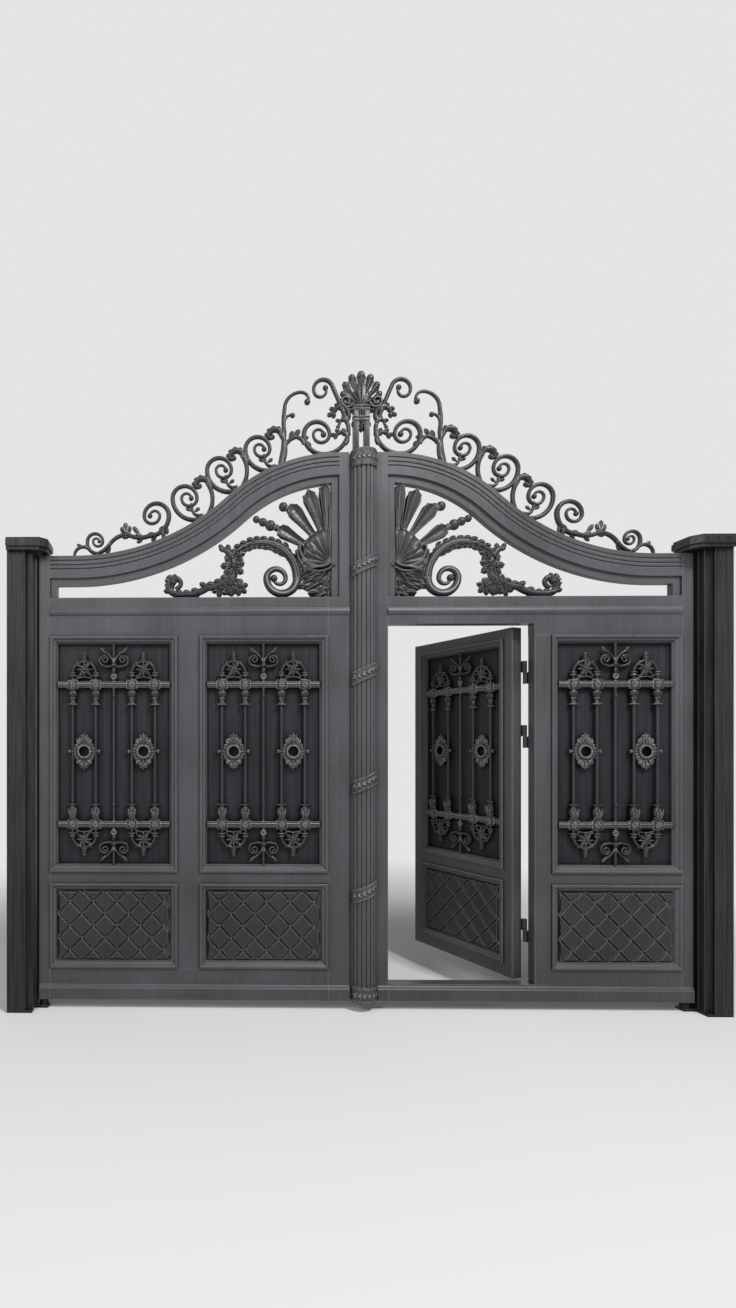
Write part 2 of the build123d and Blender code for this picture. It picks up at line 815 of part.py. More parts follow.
bands = [slanting_band(column_radius + band_proud, height, band_height) for height in band_heights]
with BuildPart() as column:
    with BuildSketch(Plane.XY.offset(leaf_low)):
        with Locations((middle, column_y)):
            Circle(column_radius - reed_radius)
            with PolarLocations(column_radius - reed_radius, reed_count, start_angle=-170, angular_range=160):
                RegularPolygon(reed_radius, reed_sides)
        with Locations((middle, -face)):
            Rectangle(4 * column_radius, 4 * column_radius, align=(Align.CENTER, Align.MAX), mode=Mode.INTERSECT)
    extrude(amount=column_top - leaf_low)
    add(half_round(column_radius + collar_proud, leaf_low, base_collar_height))
    add(half_round(column_radius + collar_proud, column_top - top_collar_height, top_collar_height))
    for band in bands:
        add(band)
write(column.part, "column")

# Finial: two square stems, a collar with a leaf hanging from it, and a palm of seven lobes.
finial_x = middle + finial_offset
with BuildPart() as finial:
    with BuildSketch(Plane.XY.offset(arch_high)):
        with Locations((finial_x, 0)):
            with GridLocations(stem_spacing, stem_width, 2, 1):
                Rectangle(stem_width, stem_width)
    extrude(amount=stem_height)
    collar_low = arch_high + stem_height
    with BuildSketch(Plane.XY.offset(collar_low)):
        with Locations((finial_x, 0)):
            Rectangle(finial_collar_width, finial_collar_depth)
    extrude(amount=finial_collar_height)
    with BuildSketch(Plane.XZ):
        with Locations((finial_x, collar_low)):
            Polygon(
                (-finial_collar_width / 2, 0),
                (0, -drop_height),
                (finial_collar_width / 2, 0),
                align=(Align.CENTER, Align.MAX),
            )
    extrude(amount=finial_collar_depth / 2, both=True)
    with BuildSketch(Plane.XZ):
        with Locations((finial_x, arch_high + palm_low)):
            for turn, length, half_width in palm_lobes:
                for way in (-turn, turn):
                    with Locations(Location((0, 0, 0), (0, 0, way))):
                        Polygon(
                            (0, 0),
                            (half_width * 0.75, length * 0.25),
                            (half_width, length * 0.6),
                            (half_width * 0.6, length * 0.88),
                            (0, length),
                            (-half_width * 0.6, length * 0.88),
                            (-half_width, length * 0.6),
                            (-half_width * 0.75, length * 0.25),
                            align=(Align.CENTER, Align.MIN),
                        )
        with Locations((finial_x, collar_low + finial_collar_height)):
            Rectangle(finial_collar_width * 0.8, palm_low - stem_height, align=(Align.CENTER, Align.MIN))
    extrude(amount=finial_depth / 2, both=True)
write(finial.part, "finial")


# A volute: half turns that tighten from a point on its outer edge, with a bead at its eye.
def volute(centre, radius, start, turn, width, halves=3):
    x, z = centre
    angle = start
    with BuildSketch() as scroll:
        for half in range(halves):
            add(arc_ribbon((x, z), radius, angle, angle + 180 * turn, width * scroll_taper**half))
            angle = angle + 180 * turn
            change = radius * (1 - scroll_shrink)
            x = x + change * cos(radians(angle))
            z = z + change * sin(radians(angle))
            radius = radius - change
        eye = radians(angle)
        with Locations((x + radius * cos(eye), z + radius * sin(eye))):
            RegularPolygon(width * 0.7, bead_sides)
    return scroll.sketch


# Height of the arch's top edge at a distance from the gate's centre.
def arch_height(out):
    along = middle - out - arch_start
    if along <= 0:
        return leaf_high
    if along <= arch_lower_radius * sin(arch_turn):
        return leaf_high + arch_lower_radius - sqrt(arch_lower_radius**2 - along**2)
    return arch_high - arch_upper_radius + sqrt(arch_upper_radius**2 - (arch_run - along) ** 2)


# Cresting: scrolls of flat bar that climb along the arch's top edge.
def on_arch(out, rise):
    return (middle - out, arch_height(out) + rise)


def on_crown(out, rise):
    return (middle - out, arch_high + rise)


# The C scroll that repeats up the arch: a volute carried on a round arm, and a leaf that curls over it.
def climbing_scroll(out):
    foot = on_arch(out, 0)
    x, z = foot
    left = x - scroll_arm_radius - scroll_arm_radius * 0.545
    hub = left + scroll_arm_radius
    with BuildSketch() as scroll:
        add(volute((left + scroll_radius, z + scroll_rise), scroll_radius, 180, -1, crest_ribbon))
        add(arc_ribbon((hub, z + scroll_rise), scroll_arm_radius, 180, 308, crest_ribbon))
        add(ribbon(foot, (x + 36.0, z + 95.0), (x + 8.0, z + 182.0), crest_ribbon))
        add(ribbon((x + 8.0, z + 182.0), (x - 26.0, z + 212.0), (x - 64.0, z + 186.0), crest_ribbon))
        with Locations((x - 62.0, z + 176.0), (x - 78.0, z - 4.0)):
            RegularPolygon(bead_radius, bead_sides)
    return scroll.sketch


# The first scrolls by the post: a hook, a small volute, a wave of bar and a volute that leans on it.
def first_scrolls():
    light = crest_ribbon * scroll_taper
    x, z = on_arch(1190, 160)
    hub = (x - 15.0, z)
    eye = on_arch(1509, 85)
    with BuildSketch() as scroll:
        add(ribbon(on_arch(1624, 0), on_arch(1585, 58), on_arch(1538, 38), light))
        add(ribbon(on_arch(1425, 60), on_arch(1462, 28), on_arch(1495, 14), crest_ribbon))
        add(ribbon(on_arch(1495, 14), on_arch(1541, 42), (eye[0] - 44.0, eye[1]), crest_ribbon))
        add(volute(eye, 44.0, 180, -1, light, 2))
        add(ribbon(on_arch(1425, 60), on_arch(1380, 92), on_arch(1325, 95), crest_ribbon))
        add(ribbon(on_arch(1325, 95), on_arch(1262, 60), (hub[0], hub[1] - 115.0), crest_ribbon))
        add(arc_ribbon(hub, 115.0, 270, 360, crest_ribbon))
        add(volute((hub[0] + 45.0, hub[1]), 70.0, 0, 1, crest_ribbon))
        add(ribbon(on_arch(1118, 0), on_arch(1121, 20), (hub[0] + 83.0, hub[1] - 79.0), crest_ribbon))
        add(ribbon(on_arch(1330, 90), on_arch(1322, 125), on_arch(1330, 150), crest_ribbon))
    return scroll.sketch


# The crown by the finial: a tall stem with a hook, a branch, a large volute and the hook above it.
def crown_scrolls():
    with BuildSketch() as scroll:
        add(ribbon(on_arch(462, -8), on_crown(443, 40), on_crown(437, 130), crest_ribbon))
        add(ribbon(on_crown(437, 130), on_crown(442, 200), on_crown(436, 262), crest_ribbon))
        add(arc_ribbon(on_crown(343, 262), 93.0, 180, 90, crest_ribbon))
        add(arc_ribbon(on_crown(343, 312), 43.0, 90, -10, crest_ribbon * scroll_taper))
        add(ribbon(on_crown(438, 175), on_crown(424, 215), on_crown(396, 228), crest_ribbon * scroll_taper))
        add(ribbon(on_crown(445, 10), on_crown(415, 78), on_crown(370, 103), crest_ribbon * scroll_taper))
        add(ribbon(on_crown(370, 103), on_crown(347, 92), on_crown(328, 62), crest_ribbon * scroll_taper))
        with Locations(on_crown(308, 300), on_crown(391, 224)):
            RegularPolygon(bead_radius, bead_sides)
        add(arc_ribbon(on_crown(215, 142), 139.0, -90, 11, crest_ribbon))
        add(arc_ribbon(on_crown(215, 115), 112.0, 270, 180, crest_ribbon))
        add(volute(on_crown(255, 115), 72.0, 180, -1, crest_ribbon))
        add(ribbon(on_crown(79, 167), on_crown(122, 284), on_crown(171, 398), crest_ribbon))
        add(volute(on_crown(218, 371), 54.0, 30, 1, crest_ribbon * scroll_taper, 2))
        add(ribbon(on_crown(104, 218), on_crown(126, 280), on_crown(158, 244), crest_ribbon * scroll_taper))
        add(ribbon(on_crown(103, 52), on_crown(135, 80), on_crown(150, 125), crest_ribbon * scroll_taper))
    return scroll.sketch


with BuildSketch(Plane.XZ) as under_arch:
    with BuildLine():
        arch_edge(-crest_seat, stile_in)
        Polyline(
            (arch_end, arch_high + crest_seat),
            (leaf_end, arch_high + crest_seat),
            (leaf_end, leaf_low),
            (stile_in, leaf_low),
            (stile_in, leaf_high + crest_seat),
        )
    make_face()
with BuildPart() as cresting:
    with BuildSketch(Plane.XZ):
        add(first_scrolls())
        for out in scroll_outs:
            add(climbing_scroll(out))
        add(crown_scrolls())
        add(under_arch.sketch, mode=Mode.SUBTRACT)
    extrude(amount=crest_depth / 2, both=True)
write_pair(cresting.part, "cresting")


# Spandrel ornament: a shell against the meeting stile, four blades that spread from it, and a branch of
# scrolls that runs down along the transom.
def on_transom(out, rise):
    return (middle - out, transom_top + rise)


fan_x = arch_end - arch_lip
blades = (
    ((188, 360), (200, 610), 34.0),
    ((228, 350), (297, 572), 36.0),
    ((270, 300), (396, 500), 34.0),
    ((300, 290), (466, 386), 26.0),
)
flower_lobes = ((728, 212, 46.0), (728, 140, 52.0), (700, 60, 56.0), (760, 60, 56.0))
with BuildPart() as fan:
    with BuildSketch(Plane.XZ):
        with Locations((fan_x, transom_top + shell_rise)):
            Ellipse(shell_width, shell_height)
        with Locations((fan_x, transom_top)):
            Rectangle(2 * shell_width, 4 * shell_height, align=(Align.MAX, Align.MIN), mode=Mode.INTERSECT)
    extrude(amount=shell_depth / 2, both=True)
    with BuildSketch(Plane.XZ):
        for foot, tip, half_width in blades:
            start = Vector(*on_transom(*foot))
            end = Vector(*on_transom(*tip))
            along = (end - start).normalized()
            across = Vector(-along.Y, along.X)
            with BuildLine():
                Polyline(
                    start - across * half_width * 0.6,
                    end - across * half_width * 1.1,
                    end - across * half_width * 0.7 + along * 18.0,
                    end + along * 6.0,
                    end + across * half_width * 0.7 + along * 18.0,
                    end + across * half_width * 1.1,
                    start + across * half_width * 0.6,
                    close=True,
                )
            make_face()
        beads = ((443, 516, 26.0), (505, 403, 31.0), (550, 424, 27.0), (592, 445, 22.0))
        for out, rise, radius in beads:
            with Locations(on_transom(out, rise)):
                RegularPolygon(radius, bead_sides, rotation=180 / bead_sides)
        with Locations((fan_x, transom_top)):
            Rectangle(3 * shell_width + 100, 4 * shell_height, align=(Align.MAX, Align.MIN), mode=Mode.INTERSECT)
    extrude(amount=blade_depth / 2, both=True)
    with BuildSketch(Plane.XZ):
        add(arc_ribbon(on_transom(569, 112), 204.0, 0, 90, arm_ribbon))
        add(ribbon(on_transom(569, 316), on_transom(661, 295), on_transom(735, 236), arm_ribbon))
        add(volute(on_transom(451, 112), 86.0, 0, -1, arm_ribbon * scroll_taper, 2))
        add(ribbon(on_transom(720, 200), on_transom(760, 100), on_transom(860, 50), arm_ribbon * 0.8))
        add(ribbon(on_transom(860, 50), on_transom(955, 26), on_transom(1062, 30), arm_ribbon * 0.8))
        add(volute(on_transom(1050, 70), 44.0, -90, -1, arm_ribbon * 0.6, 2))
        for out, rise, radius in flower_lobes:
            with Locations(on_transom(out, rise)):
                RegularPolygon(radius, bead_sides, rotation=180 / bead_sides)
        with BuildLine():
            Polyline(
                on_transom(735, 215),
                on_transom(770, 262),
                on_transom(808, 300),
                on_transom(768, 292),
                on_transom(748, 298),
                on_transom(700, 236),
                close=True,
            )
        make_face()
        with BuildLine():
            Polyline(
                on_transom(175, 30),
                on_transom(255, 70),
                on_transom(352, 88),
                on_transom(420, 0),
                on_transom(175, 0),
                close=True,
            )
        make_face()
        with Locations((fan_x, transom_top)):
            Rectangle(1000.0, 600.0, align=(Align.MAX, Align.MIN), mode=Mode.INTERSECT)
    extrude(amount=fan_depth / 2, both=True)
write_pair(fan.part, "fan")
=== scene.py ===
import math
import bpy
import bmesh
from mathutils import Matrix, Vector


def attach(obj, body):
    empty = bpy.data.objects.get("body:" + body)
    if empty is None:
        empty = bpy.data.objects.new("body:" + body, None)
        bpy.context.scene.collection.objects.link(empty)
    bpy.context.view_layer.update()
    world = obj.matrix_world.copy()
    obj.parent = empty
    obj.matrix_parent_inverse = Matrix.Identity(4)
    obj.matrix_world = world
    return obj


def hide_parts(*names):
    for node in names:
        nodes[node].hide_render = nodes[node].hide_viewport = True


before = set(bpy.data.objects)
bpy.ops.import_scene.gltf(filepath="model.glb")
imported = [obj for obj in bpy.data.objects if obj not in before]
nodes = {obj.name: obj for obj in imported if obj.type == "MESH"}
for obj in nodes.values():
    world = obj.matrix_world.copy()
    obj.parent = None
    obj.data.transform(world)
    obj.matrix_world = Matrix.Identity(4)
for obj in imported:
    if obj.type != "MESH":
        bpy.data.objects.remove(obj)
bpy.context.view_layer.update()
print("stage: frame loaded,", len(nodes), "nodes")

gate = dict(
    middle=1.916,  # centre line between the leaves
    archHigh=3.121, leafHigh=2.548, transomTop=2.312,
    archStart=0.300, archEnd=1.781, lowerShare=0.577,
)
middle = gate["middle"]
unturned = Matrix.Identity(3)


# small shape helpers, all in metres

def newGeo():
    return dict(verts=[], faces=[])


def join(geo, verts, faces):
    start = len(geo["verts"])
    geo["verts"].extend(verts)
    geo["faces"].extend([tuple(i + start for i in face) for face in faces])


def turned(geo, matrix):
    return dict(verts=[tuple(matrix @ Vector(v)) for v in geo["verts"]], faces=list(geo["faces"]))


def mirrored(geo):
    return dict(verts=[(2 * middle - x, y, z) for x, y, z in geo["verts"]], faces=list(geo["faces"]))


def around(centre, radius, angle):  # a point on a circle, angle in degrees
    a = math.radians(angle)
    return (centre[0] + radius * math.cos(a), centre[1] + radius * math.sin(a))


def arcPath(centre, radius, start, end, step=8.0):
    count = max(2, math.ceil(abs(end - start) / step))
    return [around(centre, radius, start + (end - start) * i / count) for i in range(count + 1)]


def bendPath(a, b, c):  # the arc through three points
    d = 2 * (a[0] * (b[1] - c[1]) + b[0] * (c[1] - a[1]) + c[0] * (a[1] - b[1]))
    qa, qb, qc = (p[0] ** 2 + p[1] ** 2 for p in (a, b, c))
    x = (qa * (b[1] - c[1]) + qb * (c[1] - a[1]) + qc * (a[1] - b[1])) / d
    z = (qa * (c[0] - b[0]) + qb * (a[0] - c[0]) + qc * (b[0] - a[0])) / d
    radius = math.hypot(a[0] - x, a[1] - z)
    angles = [math.degrees(math.atan2(p[1] - z, p[0] - x)) for p in (a, b, c)]
    span = (angles[2] - angles[0]) % 360
    if (angles[1] - angles[0]) % 360 > span:
        span -= 360
    return arcPath((x, z), radius, angles[0], angles[0] + span)


def volutePath(centre, radius, start, turn, halves=3, shrink=0.63):
    arcs = []
    for half in range(halves):
        angle = start + 180 * turn * (half + 1)
        arcs.append(arcPath(centre, radius, angle - 180 * turn, angle))
        change = radius * (1 - shrink)
        centre = around(centre, change, angle)
        radius -= change
    return chain(*arcs)


def chain(*paths):  # paths in a row, each shared point kept once
    return paths[0] + [point for path in paths[1:] for point in path[1:]]


def bendsOn(place, *points):  # arcs in a row, each through three of the points
    spots = [place(*point) for point in points]
    return chain(*(bendPath(*spots[i:i + 3]) for i in range(0, len(spots) - 1, 2)))


def pathLengths(path):
    lengths = [0.0]
    for a, b in zip(path, path[1:]):
        lengths.append(lengths[-1] + math.hypot(b[0] - a[0], b[1] - a[1]))
    return lengths


def addTube(geo, rings):  # rings of points, joined and closed at both ends
    sides = len(rings[0])
    faces = []
    for i in range(len(rings) - 1):
        for k in range(sides):
            n = (k + 1) % sides
            faces.append((i * sides + k, i * sides + n, (i + 1) * sides + n, (i + 1) * sides + k))
    last = (len(rings) - 1) * sides
    faces += [tuple(range(sides))[::-1], tuple(range(last, last + sides))]
    join(geo, [v for ring in rings for v in ring], faces)


def addBar(geo, path, radii, y=0.0, depth=1.15, sides=10):
    # a rounded bar along a flat path; radii is one value or (start, middle, end)
    if not isinstance(radii, tuple):
        radii = (radii, radii, radii)
    last = len(path) - 1
    lengths = pathLengths(path)
    rings = []
    for i, swell, push in [(0, 0.35, -0.9)] + [(i, 1.0, 0.0) for i in range(last + 1)] + [(last, 0.35, 0.9)]:
        x, z = path[i]
        before, after = path[max(i - 1, 0)], path[min(i + 1, last)]
        dx, dz = after[0] - before[0], after[1] - before[1]
        size = math.hypot(dx, dz) or 1.0
        dx, dz = dx / size, dz / size
        t = lengths[i] / (lengths[-1] or 1.0)
        half = 0 if t < 0.5 else 1
        r = radii[half] + (radii[half + 1] - radii[half]) * (t * 2 - half)
        endX, endZ = dx * push * r * 0.5, dz * push * r * 0.5  # the ends are drawn in and pushed out
        ring = []
        for k in range(sides):
            a = 2 * math.pi * k / sides
            across = r * swell * math.cos(a)
            ring.append((x - dz * across + endX, y - r * swell * depth * math.sin(a), z + dx * across + endZ))
        rings.append(ring)
    addTube(geo, rings)


def addSheet(geo, verts, rows, columns, rim, closed=True):
    # a grid of points, with a wall from its rim back to the middle plane
    faces = []
    for i in range(rows):
        for j in range(columns):
            n = i * (columns + 1) + j
            faces.append((n, n + 1, n + columns + 2, n + columns + 1))
    count = len(verts)
    for k in range(len(rim) if closed else len(rim) - 1):
        n = (k + 1) % len(rim)
        faces.append((rim[k], rim[n], count + n, count + k))
    join(geo, verts + [(verts[k][0], 0.0, verts[k][2]) for k in rim], faces)


def addBlock(geo, low, high, chamfer):  # a bevelled bar or block
    mesh = bmesh.new()
    bmesh.ops.create_cube(mesh, size=1.0)
    for v in mesh.verts:
        v.co = Vector([low[i] + (v.co[i] + 0.5) * (high[i] - low[i]) for i in range(3)])
    bmesh.ops.bevel(mesh, geom=mesh.edges[:], offset=chamfer, segments=2, affect="EDGES", profile=0.6)
    mesh.verts.index_update()
    join(geo, [tuple(v.co) for v in mesh.verts], [tuple(v.index for v in f.verts) for f in mesh.faces])
    mesh.free()


def newObject(name, data):
    obj = bpy.data.objects.new(name, data)
    bpy.context.scene.collection.objects.link(obj)
    return obj


def meshFrom(name, geo, smooth=True, angle=40.0):
    mesh = bpy.data.meshes.new(name)
    mesh.from_pydata(geo["verts"], [], geo["faces"])
    work = bmesh.new()
    work.from_mesh(mesh)
    bmesh.ops.recalc_face_normals(work, faces=work.faces[:])
    work.to_mesh(mesh)
    work.free()
    if smooth:
        mesh.shade_smooth()
        mesh.set_sharp_from_angle(angle=math.radians(angle))
    return newObject(name, mesh)


def finishPiece(obj, coat, body, replaced=()):
    obj.data.materials.clear()
    obj.data.materials.append(finishes[coat])
    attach(obj, body)
    if replaced:
        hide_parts(*replaced)


def castPiece(name, geo, body, replaced):
    finishPiece(meshFrom(name, geo), "castCoat", body, (replaced,))


def archHeight(out):  # top edge of the arch at a distance from the centre line
    run = gate["archEnd"] - gate["archStart"]
    rise = gate["archHigh"] - gate["leafHigh"]
    turn = 2 * math.atan(rise / run)
    radii = run / math.sin(turn)
    low = radii * gate["lowerShare"]
    high = radii - low
    along = middle - out - gate["archStart"]
    if along <= 0:
        return gate["leafHigh"]
    if along <= low * math.sin(turn):
        return gate["leafHigh"] + low - math.sqrt(low ** 2 - along ** 2)
    return gate["archHigh"] - high + math.sqrt(high ** 2 - (run - along) ** 2)


def onArch(out, rise):
    return (middle - out / 1000, archHeight(out / 1000) + rise / 1000)


def onCrown(out, rise):
    return (middle - out / 1000, gate["archHigh"] + rise / 1000)


def onTransom(out, rise):
    return (middle - out / 1000, gate["transomTop"] + rise / 1000)


# finishes

def feed(tree, node, feeds):  # each input gets a value, or a link from another node's output
    for socket, value in feeds.items():
        if isinstance(value, bpy.types.NodeSocket):
            tree.links.new(value, node.inputs[socket])
        else:
            node.inputs[socket].default_value = value


def addNode(tree, kind, place, feeds=None, **settings):
    node = tree.nodes.new(kind)
    node.location = place
    for key, value in settings.items():
        setattr(node, key, value)
    feed(tree, node, feeds or {})
    return node


def addMath(tree, place, operation, a, b, **settings):
    return addNode(tree, "ShaderNodeMath", place, {0: a, 1: b}, operation=operation, **settings).outputs[0]


def addRange(tree, place, value, fromLow, fromHigh, toLow=0.0, toHigh=1.0, **settings):
    feeds = {"Value": value, "From Min": fromLow, "From Max": fromHigh, "To Min": toLow, "To Max": toHigh}
    return addNode(tree, "ShaderNodeMapRange", place, feeds, **settings).outputs["Result"]


def addNoise(tree, place, vector, scale, detail):
    feeds = {"Vector": vector, "Scale": scale, "Detail": detail}
    return addNode(tree, "ShaderNodeTexNoise", place, feeds).outputs["Fac"]


# the recess values set the painted shade in recesses: how far it reaches and its darkest tone
coatWearAndShade = dict(streakScale=(70.0, 70.0, 2.2), cloudScale=2.3, cloudTone=(0.82, 1.2), heights=(0.0, 2.6),
                heightTone=(0.90, 1.12), recessShade=0.045, recessShadeTone=0.22)


def buildCoatGroup():
    # brushed streaks, slow tone drift, fine grain, painted shade in recesses and painted highlights on edges of
    # the charcoal coat
    wearAndShade = coatWearAndShade
    group = bpy.data.node_groups.new("coatTone", "ShaderNodeTree")
    for name, value in (("Base", (0.05, 0.05, 0.053, 1)), ("Painted Edge Highlight", (0.14, 0.14, 0.15, 1)), ("Streak", 0.4),
                        ("Edge", 0.6), ("Grain Scale", 420.0), ("Rough", 0.42), ("Edge Width", 0.0025)):
        kind = "NodeSocketColor" if isinstance(value, tuple) else "NodeSocketFloat"
        group.interface.new_socket(name, in_out="INPUT", socket_type=kind).default_value = value
    for name, kind in (("Colour", "Color"), ("Roughness", "Float"), ("Height", "Float"), ("Normal", "Vector")):
        group.interface.new_socket(name, in_out="OUTPUT", socket_type="NodeSocket" + kind)
    put = addNode(group, "NodeGroupInput", (-1400, 0)).outputs
    place = addNode(group, "ShaderNodeTexCoord", (-1400, 400)).outputs["Object"]
    stretch = addNode(group, "ShaderNodeMapping", (-1200, 500), {"Vector": place, "Scale": wearAndShade["streakScale"]})
    streaks = addNoise(group, (-1000, 500), stretch.outputs["Vector"], 1.0, 4.0)
    clouds = addNoise(group, (-1000, 250), place, wearAndShade["cloudScale"], 5.0)
    grain = addNoise(group, (-1000, 0), place, put["Grain Scale"], 2.0)
    # streak and cloud in one brightness factor
    streaks = addRange(group, (-780, 500), streaks, 0.3, 0.7, -0.5, 0.5)
    streaks = addMath(group, (-580, 500), "MULTIPLY", streaks, put["Streak"])
    tone = addMath(group, (-380, 400), "ADD", streaks,
                   addRange(group, (-780, 250), clouds, 0.3, 0.7, *wearAndShade["cloudTone"]))
    # the coat is darker near the ground and lighter towards the arch
    height = addNode(group, "ShaderNodeSeparateXYZ", (-1000, -250), {"Vector": place}).outputs["Z"]
    tone = addMath(group, (-180, 300), "MULTIPLY", tone,
                   addRange(group, (-780, -250), height, *wearAndShade["heights"], *wearAndShade["heightTone"]))
    # painted shade: recesses are darkened by ambient occlusion
    recessShade = addNode(group, "ShaderNodeAmbientOcclusion", (-380, 700), {"Distance": wearAndShade["recessShade"]}, samples=6)
    tone = addMath(group, (-60, 500), "MULTIPLY", tone,
                   addRange(group, (-180, 700), recessShade.outputs["AO"], 0.25, 0.92, wearAndShade["recessShadeTone"], 1.0))
    shade = addNode(group, "ShaderNodeVectorMath", (120, 300), {0: put["Base"], "Scale": tone},
                    operation="SCALE")
    # painted highlight: edges take a pale colour where the rounded and plain normals differ
    soft = addNode(group, "ShaderNodeBevel", (-780, -500), {"Radius": put["Edge Width"]}, samples=4).outputs[0]
    plain = addNode(group, "ShaderNodeNewGeometry", (-780, -700)).outputs["Normal"]
    dot = addNode(group, "ShaderNodeVectorMath", (-580, -550), {0: soft, 1: plain}, operation="DOT_PRODUCT")
    paintedHighlight = addRange(group, (-380, -550), dot.outputs["Value"], 0.995, 0.90)
    paintedHighlight = addMath(group, (-180, -550), "MULTIPLY", paintedHighlight, put["Edge"])
    colour = addNode(group, "ShaderNodeMix", (220, 200),
                     {0: paintedHighlight, 6: shade.outputs["Vector"], 7: put["Painted Edge Highlight"]}, data_type="RGBA").outputs[2]
    rough = addRange(group, (-180, 0), clouds, 0.3, 0.7, -0.07, 0.09)
    rough = addMath(group, (20, 0), "ADD", rough, put["Rough"])
    addNode(group, "NodeGroupOutput", (900, 0),
            {"Colour": colour, "Roughness": rough, "Height": grain, "Normal": soft})
    return group


coatGroup = buildCoatGroup()


def coatMaterial(name, base, edgeHighlight, streak, edge, rough, grainScale, grainDepth, metallic, edgeWidth=0.0025,
                 shine=0.3, relief=0.0006):
    material = bpy.data.materials.new(name)
    material.use_nodes = True
    tree = material.node_tree
    coat = addNode(tree, "ShaderNodeGroup", (-600, 0), {
        "Base": (*base, 1), "Painted Edge Highlight": (*edgeHighlight, 1), "Streak": streak, "Edge": edge, "Rough": rough,
        "Grain Scale": grainScale, "Edge Width": edgeWidth}, node_tree=coatGroup).outputs
    bump = addNode(tree, "ShaderNodeBump", (-300, -200), {
        "Strength": grainDepth, "Distance": relief, "Height": coat["Height"], "Normal": coat["Normal"]})
    feed(tree, tree.nodes["Principled BSDF"], {
        "Base Color": coat["Colour"], "Roughness": coat["Roughness"], "Normal": bump.outputs["Normal"],
        "Metallic": metallic, "Specular IOR Level": shine})
    return material


# the second colour of each coat is a painted highlight mixed onto its edges
coats = dict(
    frameCoat=dict(base=(0.058, 0.057, 0.063), edgeHighlight=(0.27, 0.27, 0.28), streak=0.22, edge=0.9, rough=0.42,
                   grainScale=380, grainDepth=0.35, metallic=0.10, shine=0.32),
    postCoat=dict(base=(0.022, 0.0215, 0.024), edgeHighlight=(0.17, 0.17, 0.18), streak=1.1, edge=0.8, rough=0.40,
                  grainScale=300, grainDepth=0.35, metallic=0.10, shine=0.16),
    panelCoat=dict(base=(0.026, 0.026, 0.030), edgeHighlight=(0.30, 0.30, 0.31), streak=0.4, edge=1.0, rough=0.42,
                   grainScale=320, grainDepth=0.45, metallic=0.10, edgeWidth=0.0026, shine=0.30),
    sheetCoat=dict(base=(0.023, 0.0238, 0.0268), edgeHighlight=(0.04, 0.04, 0.042), streak=0.5, edge=0.2, rough=0.50,
                   grainScale=260, grainDepth=0.5, metallic=0.0, shine=0.08),
    castCoat=dict(base=(0.026, 0.026, 0.029), edgeHighlight=(0.34, 0.34, 0.35), streak=0.25, edge=1.0, rough=0.38,
                  grainScale=130, grainDepth=0.8, metallic=0.10, edgeWidth=0.0035, shine=0.34, relief=0.0016),
    pinSteel=dict(base=(0.05, 0.05, 0.055), edgeHighlight=(0.26, 0.26, 0.27), streak=0.2, edge=0.7, rough=0.32,
                  grainScale=500, grainDepth=0.3, metallic=0.8),
)
finishes = {name: coatMaterial(name, **values) for name, values in coats.items()}
nodeWords = dict(pinSteel=("pins", "knuckles", "latch"), castCoat=("grille", "fan", "cresting", "finial"),
                 postCoat=("post", "cap", "foot"))
print("stage: finishes built")

for name, obj in nodes.items():
    coat = next((coat for coat, words in nodeWords.items() if any(word in name for word in words)), "frameCoat")
    obj.data.materials.clear()
    obj.data.materials.append(finishes[coat])
print("stage: frame members finished")


# one Geometry Nodes tree that sets copies of a cast shape on its places

def buildCopyTree():
    tree = bpy.data.node_groups.new("setCopies", "GeometryNodeTree")
    for name, kind in (("Places", "Geometry"), ("Shape", "Object"), ("Scale", "Float"), ("Finish", "Material")):
        tree.interface.new_socket(name, in_out="INPUT", socket_type="NodeSocket" + kind)
    tree.interface.new_socket("Mesh", in_out="OUTPUT", socket_type="NodeSocketGeometry")
    put = addNode(tree, "NodeGroupInput", (-800, 0)).outputs
    shape = addNode(tree, "GeometryNodeObjectInfo", (-600, -200), {"Object": put["Shape"]})
    turn, size = [addNode(tree, "GeometryNodeInputNamedAttribute", (-600, y), {"Name": name},
                          data_type="FLOAT_VECTOR").outputs[0] for name, y in (("turn", -400), ("size", -600))]
    euler = addNode(tree, "FunctionNodeEulerToRotation", (-400, -400), {0: turn})
    sized = addNode(tree, "ShaderNodeVectorMath", (-400, -600), {0: size, "Scale": put["Scale"]},
                    operation="SCALE")
    copies = addNode(tree, "GeometryNodeInstanceOnPoints", (-100, 0), {
        "Points": put["Places"], "Instance": shape.outputs["Geometry"], "Rotation": euler.outputs[0],
        "Scale": sized.outputs["Vector"]})
    real = addNode(tree, "GeometryNodeRealizeInstances", (200, 0), {"Geometry": copies.outputs["Instances"]})
    finish = addNode(tree, "GeometryNodeSetMaterial", (450, 0), {
        "Geometry": real.outputs["Geometry"], "Material": put["Finish"]})
    addNode(tree, "NodeGroupOutput", (800, 0), {"Mesh": finish.outputs["Geometry"]})
    return tree


copyTree = buildCopyTree()
copySocket = {item.name: item.identifier for item in copyTree.interface.items_tree if item.in_out == "INPUT"}


